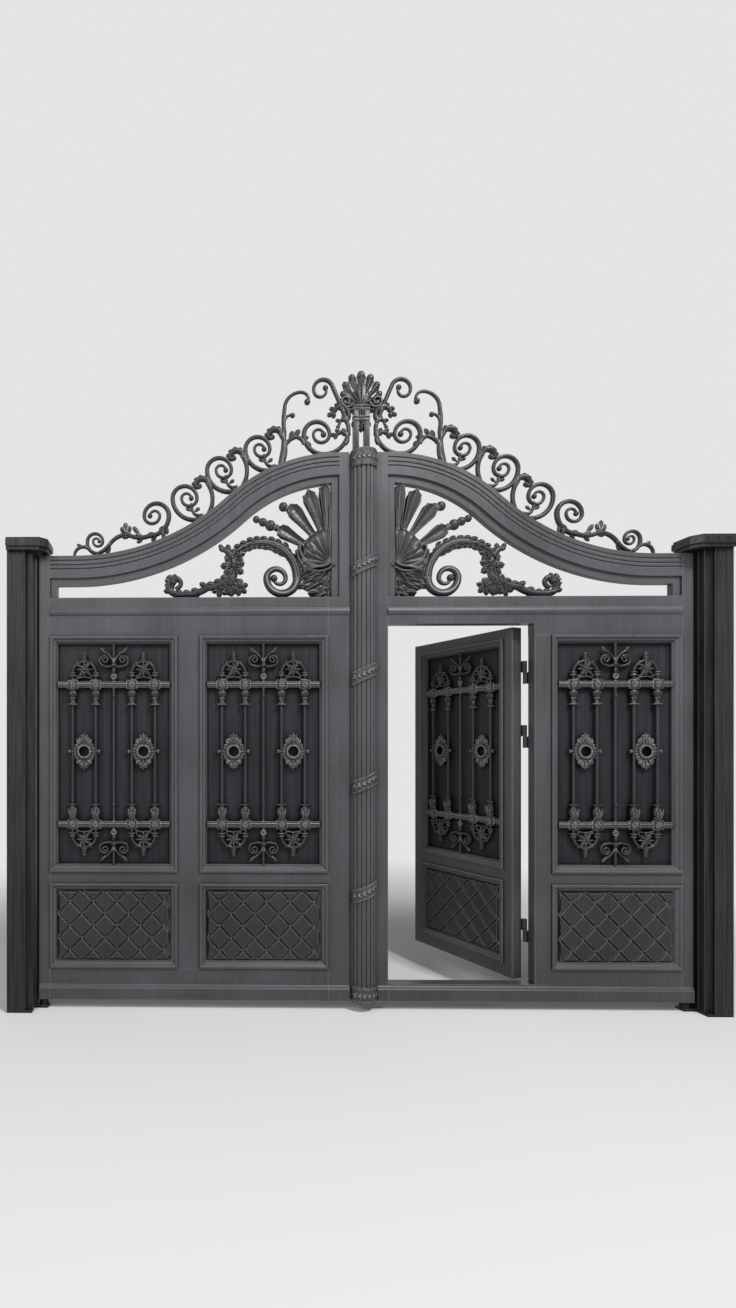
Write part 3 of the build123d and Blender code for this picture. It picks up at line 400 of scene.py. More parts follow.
def setCopies(name, shape, places, body):
    # places: list of (position, rotation matrix, size)
    mesh = bpy.data.meshes.new(name + "Places")
    mesh.from_pydata([tuple(place[0]) for place in places], [], [])
    for attribute in ("turn", "size"):
        mesh.attributes.new(attribute, "FLOAT_VECTOR", "POINT")
    turns, sizes = mesh.attributes["turn"].data, mesh.attributes["size"].data
    for i, (_, matrix, size) in enumerate(places):
        turns[i].vector = matrix.to_euler()
        sizes[i].vector = size
    holder = newObject(name + "Places", mesh)
    modifier = holder.modifiers.new("copies", "NODES")
    modifier.node_group = copyTree
    for socket, value in (("Shape", shapes[shape]), ("Scale", 1.0), ("Finish", finishes["castCoat"])):
        modifier[copySocket[socket]] = value
    made = bpy.data.meshes.new_from_object(holder.evaluated_get(bpy.context.evaluated_depsgraph_get()))
    made.name = name
    bpy.data.objects.remove(holder)
    obj = newObject(name, made)
    finishPiece(obj, "castCoat", body)
    return obj


def flatTurn(angle):
    # a shape whose length is +Z, laid in the plane of the gate and pointing at an angle (0 is +X, 90 is +Z)
    return Matrix.Rotation(-math.radians(angle - 90), 3, "Y")


def leafShape(name, rows=8, columns=6, veins=2, rounded=False):
    # a closed cast leaf, 1 long, 1 wide and 1 thick, with a ridge and side veins on both faces
    geo = newGeo()
    grid = {}
    for side in (-1, 1):
        for i in range(rows + 1):
            t = i / rows
            width = 0.5 * math.sin(math.pi * min(1.0, 0.06 + 0.94 * t) ** 0.85) ** 0.75 + 0.02
            if rounded:
                width = 0.5 * (math.sqrt(max(0.0, 1 - ((t - 0.66) / 0.345) ** 2)) if t > 0.66
                               else 0.34 + 0.66 * math.sin(math.pi * t / 1.32) ** 1.4)
            if i == rows:
                width = 0.03 if not rounded else 0.14
            for j in range(columns + 1):
                u = -1 + 2 * j / columns
                edge = abs(u) == 1
                if edge and side == 1:
                    grid[(side, i, j)] = grid[(-1, i, j)]
                    continue
                ridge = 0.5 * math.sqrt(max(0.0, 1 - u * u)) * (0.62 + 0.38 * math.cos(veins * math.pi * u))
                ridge *= math.sin(math.pi * (0.12 + 0.8 * t)) ** 0.6
                notch = 1.0 - 0.12 * (i % 2) * abs(u)
                grid[(side, i, j)] = len(geo["verts"])
                geo["verts"].append((u * width * notch, side * ridge, t - 0.05 * abs(u)))
    for side in (-1, 1):
        for i in range(rows):
            for j in range(columns):
                corners = ((i, j), (i, j + 1), (i + 1, j + 1), (i + 1, j))
                geo["faces"].append(tuple(grid[(side, *corner)] for corner in corners))
    for row in (0, rows):
        geo["faces"].append(tuple([grid[(-1, row, j)] for j in range(columns + 1)]
                                  + [grid[(1, row, j)] for j in range(columns - 1, 0, -1)]))
    return meshFrom(name, geo, angle=55)


def latheShape(name, profile, sides):
    # a turned shape from (radius, height) pairs with closed ends
    geo = newGeo()
    angles = [2 * math.pi * k / sides for k in range(sides)]
    addTube(geo, [[(r * math.cos(a), r * math.sin(a), h) for a in angles] for r, h in profile])
    return meshFrom(name, geo, angle=50)


profiles = dict(  # turned parts as (radius, height) pairs, 1 high and about 1 wide
    bead=((0.05, -0.5), (0.28, -0.42), (0.43, -0.25), (0.5, 0.0), (0.43, 0.25), (0.28, 0.42), (0.05, 0.5)),
    bulb=((0.18, -0.62), (0.2, -0.5), (0.36, -0.36), (0.5, -0.12), (0.5, 0.1), (0.38, 0.32), (0.22, 0.42),
          (0.22, 0.5), (0.4, 0.56), (0.4, 0.66), (0.2, 0.72)),
    bell=((0.5, -0.5), (0.5, -0.38), (0.34, -0.26), (0.24, 0.0), (0.2, 0.34), (0.3, 0.4), (0.3, 0.5),
          (0.18, 0.56)),
    vase=((0.34, -0.5), (0.38, -0.42), (0.3, -0.36), (0.42, -0.24), (0.5, -0.02), (0.42, 0.18), (0.24, 0.32),
          (0.2, 0.4), (0.44, 0.46), (0.5, 0.5), (0.2, 0.52)),
    capital=((0.3, -0.5), (0.5, -0.4), (0.5, -0.2), (0.32, -0.05), (0.3, 0.2), (0.42, 0.32), (0.42, 0.5),
             (0.2, 0.52)),
)
shapes = dict(
    leaf=leafShape("leafShape"),
    lobe=leafShape("lobeShape", rows=9, rounded=True),
    smallLobe=leafShape("smallLobeShape", rows=6, columns=4, veins=1, rounded=True),
    shortLeaf=leafShape("shortLeafShape", rows=6, columns=4, veins=1),
)
for name, profile in profiles.items():
    shapes[name] = latheShape(name + "Shape", profile, 12 if name == "bead" else 14)
print("stage: cast shapes built")


def addPlace(places, x, z, angle, length, width, thick, y=0.0):
    places.append(((x, y, z), flatTurn(angle), (width, thick, length)))


def addPlaces(places, line, rows):  # rows of (out, rise, angle, length, width, thick), out and rise in mm
    for out, rise, *sizes in rows:
        addPlace(places, *line(out, rise), *sizes)


def addBead(places, point, size, y=0.0, turn=unturned):  # size is one value or (wide, thick, high)
    places.append(((point[0], y, point[1]), turn, size if isinstance(size, tuple) else (size, size, size)))


def addAlong(places, path, first, last, count, spread, length, width, thick, sideways=(1,), grow=1.0):
    # leaves that spring from a bar, leaning forward along it
    lengths = pathLengths(path)
    for k in range(count):
        t = (first + (last - first) * k / max(1, count - 1)) * lengths[-1]
        i = max(j for j in range(len(lengths)) if lengths[j] <= t + 1e-9)
        i = min(i, len(path) - 2)
        a, b = path[i], path[i + 1]
        part = (t - lengths[i]) / (lengths[i + 1] - lengths[i])
        x, z = a[0] + (b[0] - a[0]) * part, a[1] + (b[1] - a[1]) * part
        heading = math.degrees(math.atan2(b[1] - a[1], b[0] - a[0]))
        size = grow ** k
        for side in sideways:
            addPlace(places, x, z, heading + side * spread, length * size, width * size, thick)


def flipPlaces(places):
    # the same places seen in a mirror on the gate's centre line
    flip = Matrix.Diagonal((-1, 1, 1))
    return [((2 * middle - x, y, z), flip @ matrix @ flip, size) for (x, y, z), matrix, size in places]


def addBothSides(node, bars, geo, sprays):  # the left leaf's pieces and their mirror image
    made = {}
    for side in ("left", "right"):
        castPiece(side + bars, geo if side == "left" else mirrored(geo), side + "_leaf", side + "_" + node)
        for name, shape, places in sprays:
            places = places if side == "left" else flipPlaces(places)
            made[side, name] = setCopies(side + name, shape, places, side + "_leaf")
    return made


# cresting: the scrolls that climb the arch

crest = dict(bar=0.0122, taper=0.84, arm=0.123, volute=0.069, rise=0.096, outs=(467, 684, 879), leafThick=0.022,
             hookLeaf=0.075, budLeaf=0.046)


def crestingShapes():
    geo, leaves, beads = newGeo(), [], []
    bar, light = crest["bar"], crest["bar"] * crest["taper"]
    thick, hook, bud = crest["leafThick"], crest["hookLeaf"], crest["budLeaf"]

    def scroll(points, radii, size=None, eye=None):  # a bar, with a bead on its end or on another place
        addBar(geo, points, radii)
        if size:
            addBead(beads, eye or points[-1], size)

    for out in crest["outs"]:
        x, z = onArch(out, 0)
        left = x - crest["arm"] * 1.545
        eyePath = volutePath((left + crest["volute"], z + crest["rise"]), crest["volute"], 180, -1)
        armPath = arcPath((left + crest["arm"], z + crest["rise"]), crest["arm"], 308, 180)
        scroll(chain(armPath, eyePath), (bar * 1.15, bar, bar * 0.62), 0.030)

        def near(right, up):
            return (x + right / 1000, z + up / 1000)

        curl = bendsOn(near, (0, -10), (36, 95), (8, 182))
        scroll(curl, (bar * 1.1, bar, bar * 1.15))
        tip = bendsOn(near, (12, 172), (-22, 206), (-56, 184), (-56, 160), (-36, 162))
        scroll(tip, (bar * 1.2, bar * 1.5, bar * 0.8), 0.030, near(-38, 164))
        addAlong(leaves, tip, 0.0, 0.62, 5, -24, hook * 0.46, hook * 0.34, thick * 1.1)
        addAlong(leaves, tip, 0.1, 0.70, 4, 26, hook * 0.36, hook * 0.28, thick * 1.2)
        addAlong(leaves, curl, 0.78, 0.96, 2, -16, hook * 0.50, hook * 0.30, thick)
        # the small leaf inside the scroll
        scroll(bendsOn(near, (-20, 2), (-62, 4), (-78, 40)), (bar * 0.9, bar * 0.8, bar * 0.6))
        addPlaces(leaves, near, ((-80, 26, 96, bud, 0.026, 0.02), (-64, 20, 40, bud * 0.8, 0.024, 0.018),
                                 (-84, 24, 150, bud * 0.8, 0.024, 0.018)))

    # the first scrolls by the post
    x, z = onArch(1190, 160)
    hub = (x - 0.015, z)
    eye = onArch(1509, 85)
    scroll(bendsOn(onArch, (1624, -4), (1585, 58), (1538, 38)), (light * 0.8, light, light))
    wave = chain(bendsOn(onArch, (1425, 60), (1462, 28), (1495, 14)),
                 bendPath(onArch(1495, 14), onArch(1541, 42), (eye[0] - 0.044, eye[1])),
                 volutePath(eye, 0.044, 180, -1))
    scroll(wave, (bar, light, light * 0.6), 0.022)
    back = chain(bendsOn(onArch, (1425, 60), (1380, 92), (1325, 95)),
                 bendPath(onArch(1325, 95), onArch(1262, 60), (hub[0], hub[1] - 0.115)),
                 arcPath(hub, 0.115, 270, 360), volutePath((hub[0] + 0.045, hub[1]), 0.070, 0, 1))
    scroll(back, (bar, bar * 1.15, bar * 0.6), 0.030)
    scroll(bendPath(onArch(1118, -4), onArch(1121, 20), (hub[0] + 0.083, hub[1] - 0.079)), bar)
    addPlaces(leaves, onArch, ((1330, 92, 96, 0.074, 0.036, 0.024), (1330, 92, 70, 0.058, 0.036, 0.024),
                               (1330, 92, 124, 0.058, 0.036, 0.024)))
    addAlong(leaves, back, 0.16, 0.42, 4, 150, 0.052, 0.028, 0.020, sideways=(1, -1))
    addPlaces(leaves, onArch, ((1420, 40, 235, 0.050, 0.026, 0.018), (1255, 72, 128, 0.064, 0.030, 0.020),
                               (1575, 52, 150, 0.045, 0.022, 0.016)))

    # the crown beside the finial
    stem = chain(bendPath(onArch(462, -8), onCrown(443, 40), onCrown(437, 130)),
                 bendsOn(onCrown, (437, 130), (442, 200), (436, 262)),
                 arcPath(onCrown(343, 262), 0.093, 180, 90), arcPath(onCrown(343, 312), 0.043, 90, -10))
    scroll(stem, (bar * 1.2, bar, light * 0.75), (0.036, 0.034, 0.036), onCrown(308, 300))
    branch = bendsOn(onCrown, (438, 175), (424, 215), (396, 228))
    scroll(branch, (light, light * 0.8, light * 0.7), (0.030, 0.028, 0.030), onCrown(391, 224))
    low = bendsOn(onCrown, (445, 10), (415, 78), (370, 103), (347, 92), (328, 62))
    scroll(low, (bar, bar, light))
    addAlong(leaves, low, 0.45, 0.9, 4, 30, 0.058, 0.032, 0.022)
    great = chain(arcPath(onCrown(215, 142), 0.139, 11, -90), arcPath(onCrown(215, 115), 0.112, 270, 180),
                  volutePath(onCrown(255, 115), 0.072, 180, -1))
    scroll(great, (bar, bar * 1.1, bar * 0.62), (0.034, 0.032, 0.034))
    tall = chain(bendsOn(onCrown, (79, 167), (122, 284), (171, 398)),
                 volutePath(onCrown(218, 371), 0.054, 30, 1, 2))
    scroll(tall, (bar, bar, light * 0.75), (0.032, 0.030, 0.032))
    curl = bendsOn(onCrown, (88, 190), (128, 268), (166, 226))
    scroll(curl, (bar, bar * 1.25, bar * 0.8), (0.030, 0.028, 0.030), onCrown(160, 224))
    addAlong(leaves, curl, 0.30, 0.92, 5, -30, 0.040, 0.032, 0.026)
    addAlong(leaves, curl, 0.30, 0.92, 4, 30, 0.036, 0.028, 0.024)
    curl = bendsOn(onCrown, (84, 176), (112, 196), (126, 170))
    scroll(curl, (light, light * 1.1, light * 0.8))
    addAlong(leaves, curl, 0.3, 0.95, 3, -30, 0.034, 0.026, 0.022)
    inner = bendsOn(onCrown, (92, 60), (112, 126), (152, 110))
    scroll(inner, (light, light * 1.2, light * 0.7), (0.028, 0.026, 0.028), onCrown(148, 108))
    addAlong(leaves, inner, 0.3, 0.92, 4, -30, 0.036, 0.028, 0.022)
    addAlong(leaves, inner, 0.4, 0.92, 3, 30, 0.032, 0.026, 0.022)
    return geo, leaves, beads


geo, leaves, beads = crestingShapes()
addBothSides("cresting", "ScrollBars", geo, (("ScrollLeaves", "lobe", leaves), ("ScrollBeads", "bead", beads)))
print("stage: cresting done")


# spandrel ornament: shell, blades, acanthus arm and flowers

fanSizes = dict(hub=(188, 190), ribs=6, arm=0.025, leafThick=0.034, stile=135, stileInside=0.0405)


def addBlade(geo, foot, tip, footWidth, tipWidth, thick):
    # a cast blade that widens to a pointed crown, ribbed along its middle on both faces
    start, end = Vector((foot[0], 0, foot[1])), Vector((tip[0], 0, tip[1]))
    along = end - start
    across = Vector((-along.z, 0, along.x)).normalized()
    rows, columns = 16, 10
    wide = columns + 1
    rim = (list(range(wide)) + [i * wide + columns for i in range(1, rows + 1)]
           + [rows * wide + j for j in range(columns - 1, -1, -1)] + [i * wide for i in range(rows - 1, 0, -1)])
    for side in (-1, 1):
        verts = []
        for i in range(rows + 1):
            t = i / rows
            width = footWidth + (tipWidth - footWidth) * min(1.0, t * 1.25) ** 1.2
            if t > 0.92:
                width *= 0.88
            for j in range(wide):
                u = -1 + 2 * j / columns
                reach = t + t ** 8 * (0.20 * (1 - abs(u)) + 0.07 * abs(u) ** 6 - 0.04)
                edge = math.exp(-((abs(u) - 0.75) / 0.18) ** 2)
                dimples = 0.13 * math.cos(t * 44 + 1.57 * (u > 0)) * math.exp(-((abs(u) - 0.35) / 0.22) ** 2)
                raised = thick * (0.46 + 0.50 * edge + dimples - 0.16 * math.exp(-(u / 0.12) ** 2))
                if abs(u) == 1:
                    raised = thick * 0.2
                elif i == rows:
                    raised = thick * 0.75
                point = start + along * reach + across * (u * width)
                verts.append((point.x, side * raised, point.z))
        addSheet(geo, verts, rows, columns, rim)


def addDome(geo, hub, centre, wide, high):
    # the fluted half shell: flutes run from the hub to a scalloped rim
    rows, turns = 9, 84
    rim = ([i * (turns + 1) for i in range(rows)] + [rows * (turns + 1) + j for j in range(turns + 1)]
           + [i * (turns + 1) + turns for i in range(rows - 1, 0, -1)])
    for side in (-1, 1):
        verts = []
        for i in range(rows + 1):
            t = i / rows
            for j in range(turns + 1):
                a = math.radians(88 + 112 * j / turns)
                flute = abs(math.cos(math.pi * fanSizes["ribs"] * j / turns))
                rimX = centre[0] + wide * math.cos(a) * (1 + 0.03 * flute)
                rimZ = centre[1] + high * math.sin(a) * (1 + 0.03 * flute)
                bulge = math.sqrt(max(0.0, 1 - (0.96 * t) ** 7))
                y = 0.037 * bulge * (0.76 + 0.24 * flute ** 0.6) if i < rows else 0.004
                y *= 0.55 + 0.45 * min(1.0, t * 3)
                verts.append((hub[0] + (rimX - hub[0]) * t, side * y, hub[1] + (rimZ - hub[1]) * t))
        addSheet(geo, verts, rows, turns, rim, closed=False)


def fanShapes():
    geo, leaves, lobes, beads = newGeo(), [], [], []
    arm, thick = fanSizes["arm"], fanSizes["leafThick"]
    # blades that spread from the shell, with beads on their tips
    for foot, tip, footWidth, tipWidth in (
        ((200, 386), (212, 618), 0.018, 0.034), ((232, 384), (298, 582), 0.017, 0.043),
        ((276, 358), (392, 506), 0.018, 0.043), ((322, 300), (458, 386), 0.020, 0.041),
    ):
        addBlade(geo, onTransom(*foot), onTransom(*tip), footWidth, tipWidth, 0.024)
    for out, rise, size in ((443, 516, 0.054), (482, 398, 0.040), (516, 411, 0.062), (558, 430, 0.050),
                            (595, 446, 0.042), (420, 506, 0.036)):
        addBead(beads, onTransom(out, rise), (size, size * 0.8, size))
    # the shell against the stile, and its egg
    hubX, hubZ = onTransom(*fanSizes["hub"])
    addDome(geo, (hubX, hubZ), (middle - 0.188, gate["transomTop"] + 0.205), 0.166, 0.188)
    addBead(beads, onTransom(276, 256), (0.070, 0.088, 0.122), turn=flatTurn(132))
    addBead(beads, (hubX + 0.02, hubZ - 0.01), (0.05, 0.06, 0.05))
    # the cast foot below the shell, with its mouldings and hanging leaves
    for points, radii, depth, sides in (
        (((352, 296), (292, 182), (180, 196)), (0.010, 0.013, 0.012), 2.9, 10),
        (((368, 270), (300, 158), (180, 170)), (0.009, 0.012, 0.012), 2.5, 10),
        (((372, 210), (300, 134), (196, 96)), (0.034, 0.040, 0.026), 0.36, 14),
        (((176, 160), (186, 90), (178, 10)), (0.018, 0.030, 0.024), 0.6, 10),
    ):
        addBar(geo, bendsOn(onTransom, *points), radii, depth=depth, sides=sides)
    addPlaces(lobes, onTransom, [(*row, 0.054, 0.050) for row in (
        (215, 140, 196, 0.10), (222, 96, 210, 0.11), (205, 60, 236, 0.085), (190, 40, 262, 0.07),
        (250, 132, 160, 0.09), (300, 150, 150, 0.09), (212, 150, 100, 0.07), (200, 120, 300, 0.07),
        (196, 70, 320, 0.06), (332, 120, 230, 0.07), (270, 110, 205, 0.10), (252, 76, 190, 0.09),
        (300, 70, 176, 0.08), (236, 30, 182, 0.07), (186, 176, 232, 0.12), (196, 172, 214, 0.14),
        (206, 160, 198, 0.13), (182, 150, 252, 0.11), (184, 60, 200, 0.09), (186, 30, 196, 0.08))])
    # the arm: a tapered bar that rises from the shell's foot, and its volute
    rising = chain(arcPath(onTransom(569, 112), 0.204, 0, 90),
                   bendsOn(onTransom, (569, 316), (661, 295), (735, 236)))
    addBar(geo, rising, (arm * 1.05, arm * 0.95, arm * 0.55), depth=1.0, sides=12)
    addBar(geo, rising, (arm * 0.45, arm * 0.4, arm * 0.2), depth=2.9, sides=8)
    eyePath = volutePath(onTransom(451, 112), 0.086, 0, -1, 3, 0.62)
    addBar(geo, eyePath, (arm * 1.0, arm * 0.8, arm * 0.35), depth=1.05, sides=12)
    addBar(geo, eyePath, (arm * 0.4, arm * 0.3, arm * 0.12), depth=2.9, sides=8)
    addBead(beads, eyePath[-1], (0.042, 0.046, 0.042))
    addAlong(lobes, rising, 0.26, 0.97, 11, 30, 0.084, 0.046, thick, grow=0.97)
    addAlong(lobes, rising, 0.30, 0.97, 10, 26, 0.072, 0.044, thick, sideways=(-1,), grow=0.975)
    addAlong(lobes, rising, 0.02, 0.30, 5, 12, 0.070, 0.042, thick, sideways=(-1, 1))
    addAlong(leaves, rising, 0.30, 0.95, 9, 6, 0.070, 0.030, thick * 1.7, grow=0.98)
    # the branch that runs down to the transom and its end volute
    branch = chain(bendsOn(onTransom, (715, 205), (775, 96), (872, 60), (960, 24), (1050, 26)),
                   volutePath(onTransom(1050, 70), 0.044, -90, -1, 2))
    addBar(geo, branch, (arm * 0.8, arm * 0.8, arm * 0.5), depth=1.0, sides=12)
    addAlong(lobes, branch, 0.12, 0.66, 8, 34, 0.066, 0.040, thick, sideways=(-1,), grow=0.965)
    addAlong(lobes, branch, 0.16, 0.78, 8, 20, 0.056, 0.036, thick, grow=0.975)
    addAlong(leaves, branch, 0.14, 0.72, 7, 4, 0.056, 0.024, thick * 1.6, grow=0.98)
    addPlaces(lobes, onTransom, [(1066, 92, angle, 0.050, 0.034, 0.036) for angle in range(30, 256, 45)])
    addBead(beads, onTransom(1066, 92), (0.040, 0.048, 0.040))
    # flowers where the arm and the branch meet
    for out, rise, reach, petals in ((728, 178, 0.072, 7), (742, 78, 0.070, 7), (690, 62, 0.052, 6),
                                     (800, 52, 0.050, 6), (700, 240, 0.046, 5)):
        x, z = onTransom(out, rise)
        reach = min(reach, z - gate["transomTop"] - 0.002)
        for k in range(petals):
            addPlace(lobes, x, z, 20 + 360 * k / petals, reach, reach * 0.66, 0.038)
            addPlace(lobes, x, z, 20 + 360 * (k + 0.5) / petals, reach * 0.62, reach * 0.44, 0.052)
        addBead(beads, (x, z), (reach * 0.42, 0.058, reach * 0.42))
    trunk = [onTransom(742, 30), onTransom(735, 130), onTransom(722, 240)]
    addBar(geo, trunk, (0.034, 0.030, 0.024), depth=0.55, sides=12)
    # the upright leaf on top
    addBar(geo, bendsOn(onTransom, (735, 232), (756, 262), (800, 288)), (0.020, 0.018, 0.008), depth=0.8)
    addPlaces(lobes, onTransom, ((752, 262, 96, 0.046, 0.034, 0.028), (780, 272, 128, 0.042, 0.030, 0.026),
                                 (732, 236, 70, 0.052, 0.034, 0.028), (764, 262, 150, 0.050, 0.030, 0.028)))
    return geo, leaves, lobes, beads


geo, leaves, lobes, beads = fanShapes()
stileEdge = middle - fanSizes["stile"] / 1000 - fanSizes["stileInside"]
geo["verts"] = [(min(x, stileEdge), y, max(z, gate["transomTop"] + 0.0006)) for x, y, z in geo["verts"]]
fans = addBothSides("fan", "FanArms", geo, (
    ("FanLeaves", "leaf", leaves), ("FanLobes", "lobe", lobes), ("FanBeads", "bead", beads)))
for (side, name), obj in fans.items():
    for v in obj.data.vertices if name != "FanBeads" else ():  # leaves end at the stile and the transom
        v.co.x = min(v.co.x, stileEdge) if side == "left" else max(v.co.x, 2 * middle - stileEdge)
        v.co.z = max(v.co.z, gate["transomTop"] + 0.0005)
print("stage: spandrel ornament done")


# finial: stems, ribbed collar, hanging leaf and the palm

finialSizes = dict(x=middle - 0.005, foot=3.1212, stem=0.0155, spacing=0.060, collarLow=3.311, collarHigh=3.395,
                   palmFoot=3.368)


def finialShapes():
    geo, leaves, beads = newGeo(), [], []
    s = finialSizes
    centre, low, high, palm = s["x"], s["collarLow"], s["collarHigh"], s["palmFoot"]
    for way in (-1, 1):
        x = centre + way * s["spacing"] / 2
        addBlock(geo, (x - s["stem"], -s["stem"], s["foot"]), (x + s["stem"], s["stem"], high), 0.003)
    # the collar: a drum with cords round its top and bottom
    for z, r in ((low, 0.042), (low + 0.018, 0.046), (high - 0.022, 0.043), (high - 0.004, 0.047)):
        ring = [(centre + r * math.cos(a), z) for a in (math.pi, math.pi * 0.75, math.pi / 2, math.pi / 4, 0)]
        addBar(geo, ring, 0.0075, depth=3.2)
    for k in range(9):
        x = centre + (k - 4) * 0.0098
        addBar(geo, [(x, low + 0.004), (x, (low + high) / 2), (x, high)],
               (0.0052, 0.0062, 0.0052), depth=3.9 - 0.09 * (k - 4) ** 2, sides=8)
    # the leaf that hangs between the stems
    addPlace(leaves, centre, low + 0.012, 270, 0.076, 0.050, 0.046)
    for angle in (238, 302):
        addPlace(leaves, centre, low + 0.014, angle, 0.056, 0.036, 0.040)
    for way in (-1, 1):
        addPlace(leaves, centre + way * 0.034, low + 0.010, 270 + way * 16, 0.048, 0.030, 0.038)
    # the palm: lobes that spread from its foot, each with a rounded tip and a vein
    for turn, length, width in ((0, 0.226, 0.074), (17, 0.216, 0.068), (34, 0.196, 0.064), (51, 0.168, 0.060),
                                (69, 0.134, 0.056), (88, 0.096, 0.044)):
        for way in ((-1, 1) if turn else (1,)):
            footX, footZ = centre + way * min(turn, 60) / 60 * 0.016, palm + 0.002
            addPlace(leaves, footX, footZ, 90 + way * turn, length, width, 0.034)
            addPlace(leaves, footX, footZ, 90 + way * turn, length * 0.84, width * 0.34, 0.050)
            tip = around((footX, footZ), length - width * 0.34, 90 + way * turn)
            addBead(beads, tip, (width * 0.62, 0.026, width * 0.62))
    for way in (-1, 1):
        curl = volutePath((centre + way * 0.078, palm + 0.052), 0.034, 180 if way > 0 else 0, way)
        addBar(geo, curl, (0.010, 0.010, 0.008), depth=2.0)
        addBead(beads, curl[-1], (0.022, 0.034, 0.022))
    addBar(geo, [(centre, palm - 0.02), (centre, palm + 0.07), (centre, palm + 0.15)],
           (0.034, 0.066, 0.034), depth=0.26, sides=14)
    return geo, leaves, beads


geo, leaves, beads = finialShapes()
castPiece("finialStems", geo, "right_leaf", "finial")
setCopies("finialLeaves", "lobe", leaves, "right_leaf")
setCopies("finialBeads", "bead", beads, "right_leaf")
print("stage: finial done")


# column: garlands on the slanting bands and the collars

columnSizes = dict(y=-0.020, radius=0.0735, bands=(0.668, 1.275, 1.880, 2.486), rise=0.067, bandHeight=0.073,
                   leaf=0.040, collarLow=3.032, collarHigh=3.120, footMiddle=0.098, footHeight=0.080)


def columnPlaces():
    leaves, beads = [], []
    c = columnSizes
    rows = [(z, c["rise"], c["bandHeight"]) for z in c["bands"]]
    rows.append(((c["collarLow"] + c["collarHigh"]) / 2, 0.0, c["collarHigh"] - c["collarLow"]))
    rows.append((c["footMiddle"], 0.0, c["footHeight"]))
    for z, rise, height in rows:
        slope = math.atan2(rise, 2 * c["radius"])
        for k in range(9):
            phi = math.radians(-80 + 160 * k / 8)
            x = middle + c["radius"] * math.sin(phi)
            y = c["y"] - c["radius"] * math.cos(phi)
            if y > -0.036:
                continue
            normal = Vector((math.sin(phi), -math.cos(phi), 0))
            along = Vector((math.cos(phi) * math.cos(slope), math.sin(phi) * math.cos(slope), math.sin(slope)))
            up = along.cross(normal).normalized()
            if up.z < 0:
                up = -up
            middleZ = z + rise * math.sin(phi) / 2

            def addLeaf(start, lean, size):
                side = lean.cross(normal).normalized()
                leaves.append((tuple(start), Matrix((side, -normal, lean)).transposed(), size))

            for way in (-1, 1):
                lean = (along * 0.86 + up * 0.5 * way).normalized()
                addLeaf(Vector((x, y, middleZ)) - lean * c["leaf"] * 0.35, lean, (0.022, 0.010, c["leaf"]))
            for way in (-1, 1):  # cords along both edges of the band
                place = Vector((x, y, middleZ)) + Vector((0, 0, way * height * 0.44)) - normal * 0.001
                addLeaf(place - along * 0.017, along, (0.011, 0.009, 0.036))
            addBead(beads, (x, middleZ), 0.015, y)
    return leaves, beads


leaves, beads = columnPlaces()
setCopies("columnGarlands", "shortLeaf", leaves, "right_leaf")
setCopies("columnBerries", "bead", beads, "right_leaf")
print("stage: column garlands done")


# window grilles

grilleSizes = dict(
    y=-0.023, pair=0.167, half=0.065, bar=0.0083, railLow=1.036, railHigh=1.822, railHalf=0.0175, inside=0.3145,
    low=0.811, high=2.051, arch=0.0655, spring=0.047, rosette=1.446, studs=(1.757, 1.146),
)
wicketDoor = dict(hinge=Vector((middle + 0.940, 0.052, 0.426)), open=69)  # degrees open at rest
wicketTurn = (Matrix.Translation(wicketDoor["hinge"])
              @ Matrix.Rotation(-math.radians(wicketDoor["open"]), 4, "Z")
              @ Matrix.Translation(-wicketDoor["hinge"]))
bays = (
    ("leftOuter", "left_leaf", "left_outer_grille", 0.5155, Matrix.Identity(4)),
    ("leftInner", "left_leaf", "left_inner_grille", 1.3575, Matrix.Identity(4)),
    ("right", "right_leaf", "right_grille", 2 * middle - 0.5155, Matrix.Identity(4)),
    ("wicket", "wicket", "wicket_grille", middle + 0.5385, wicketTurn),
)


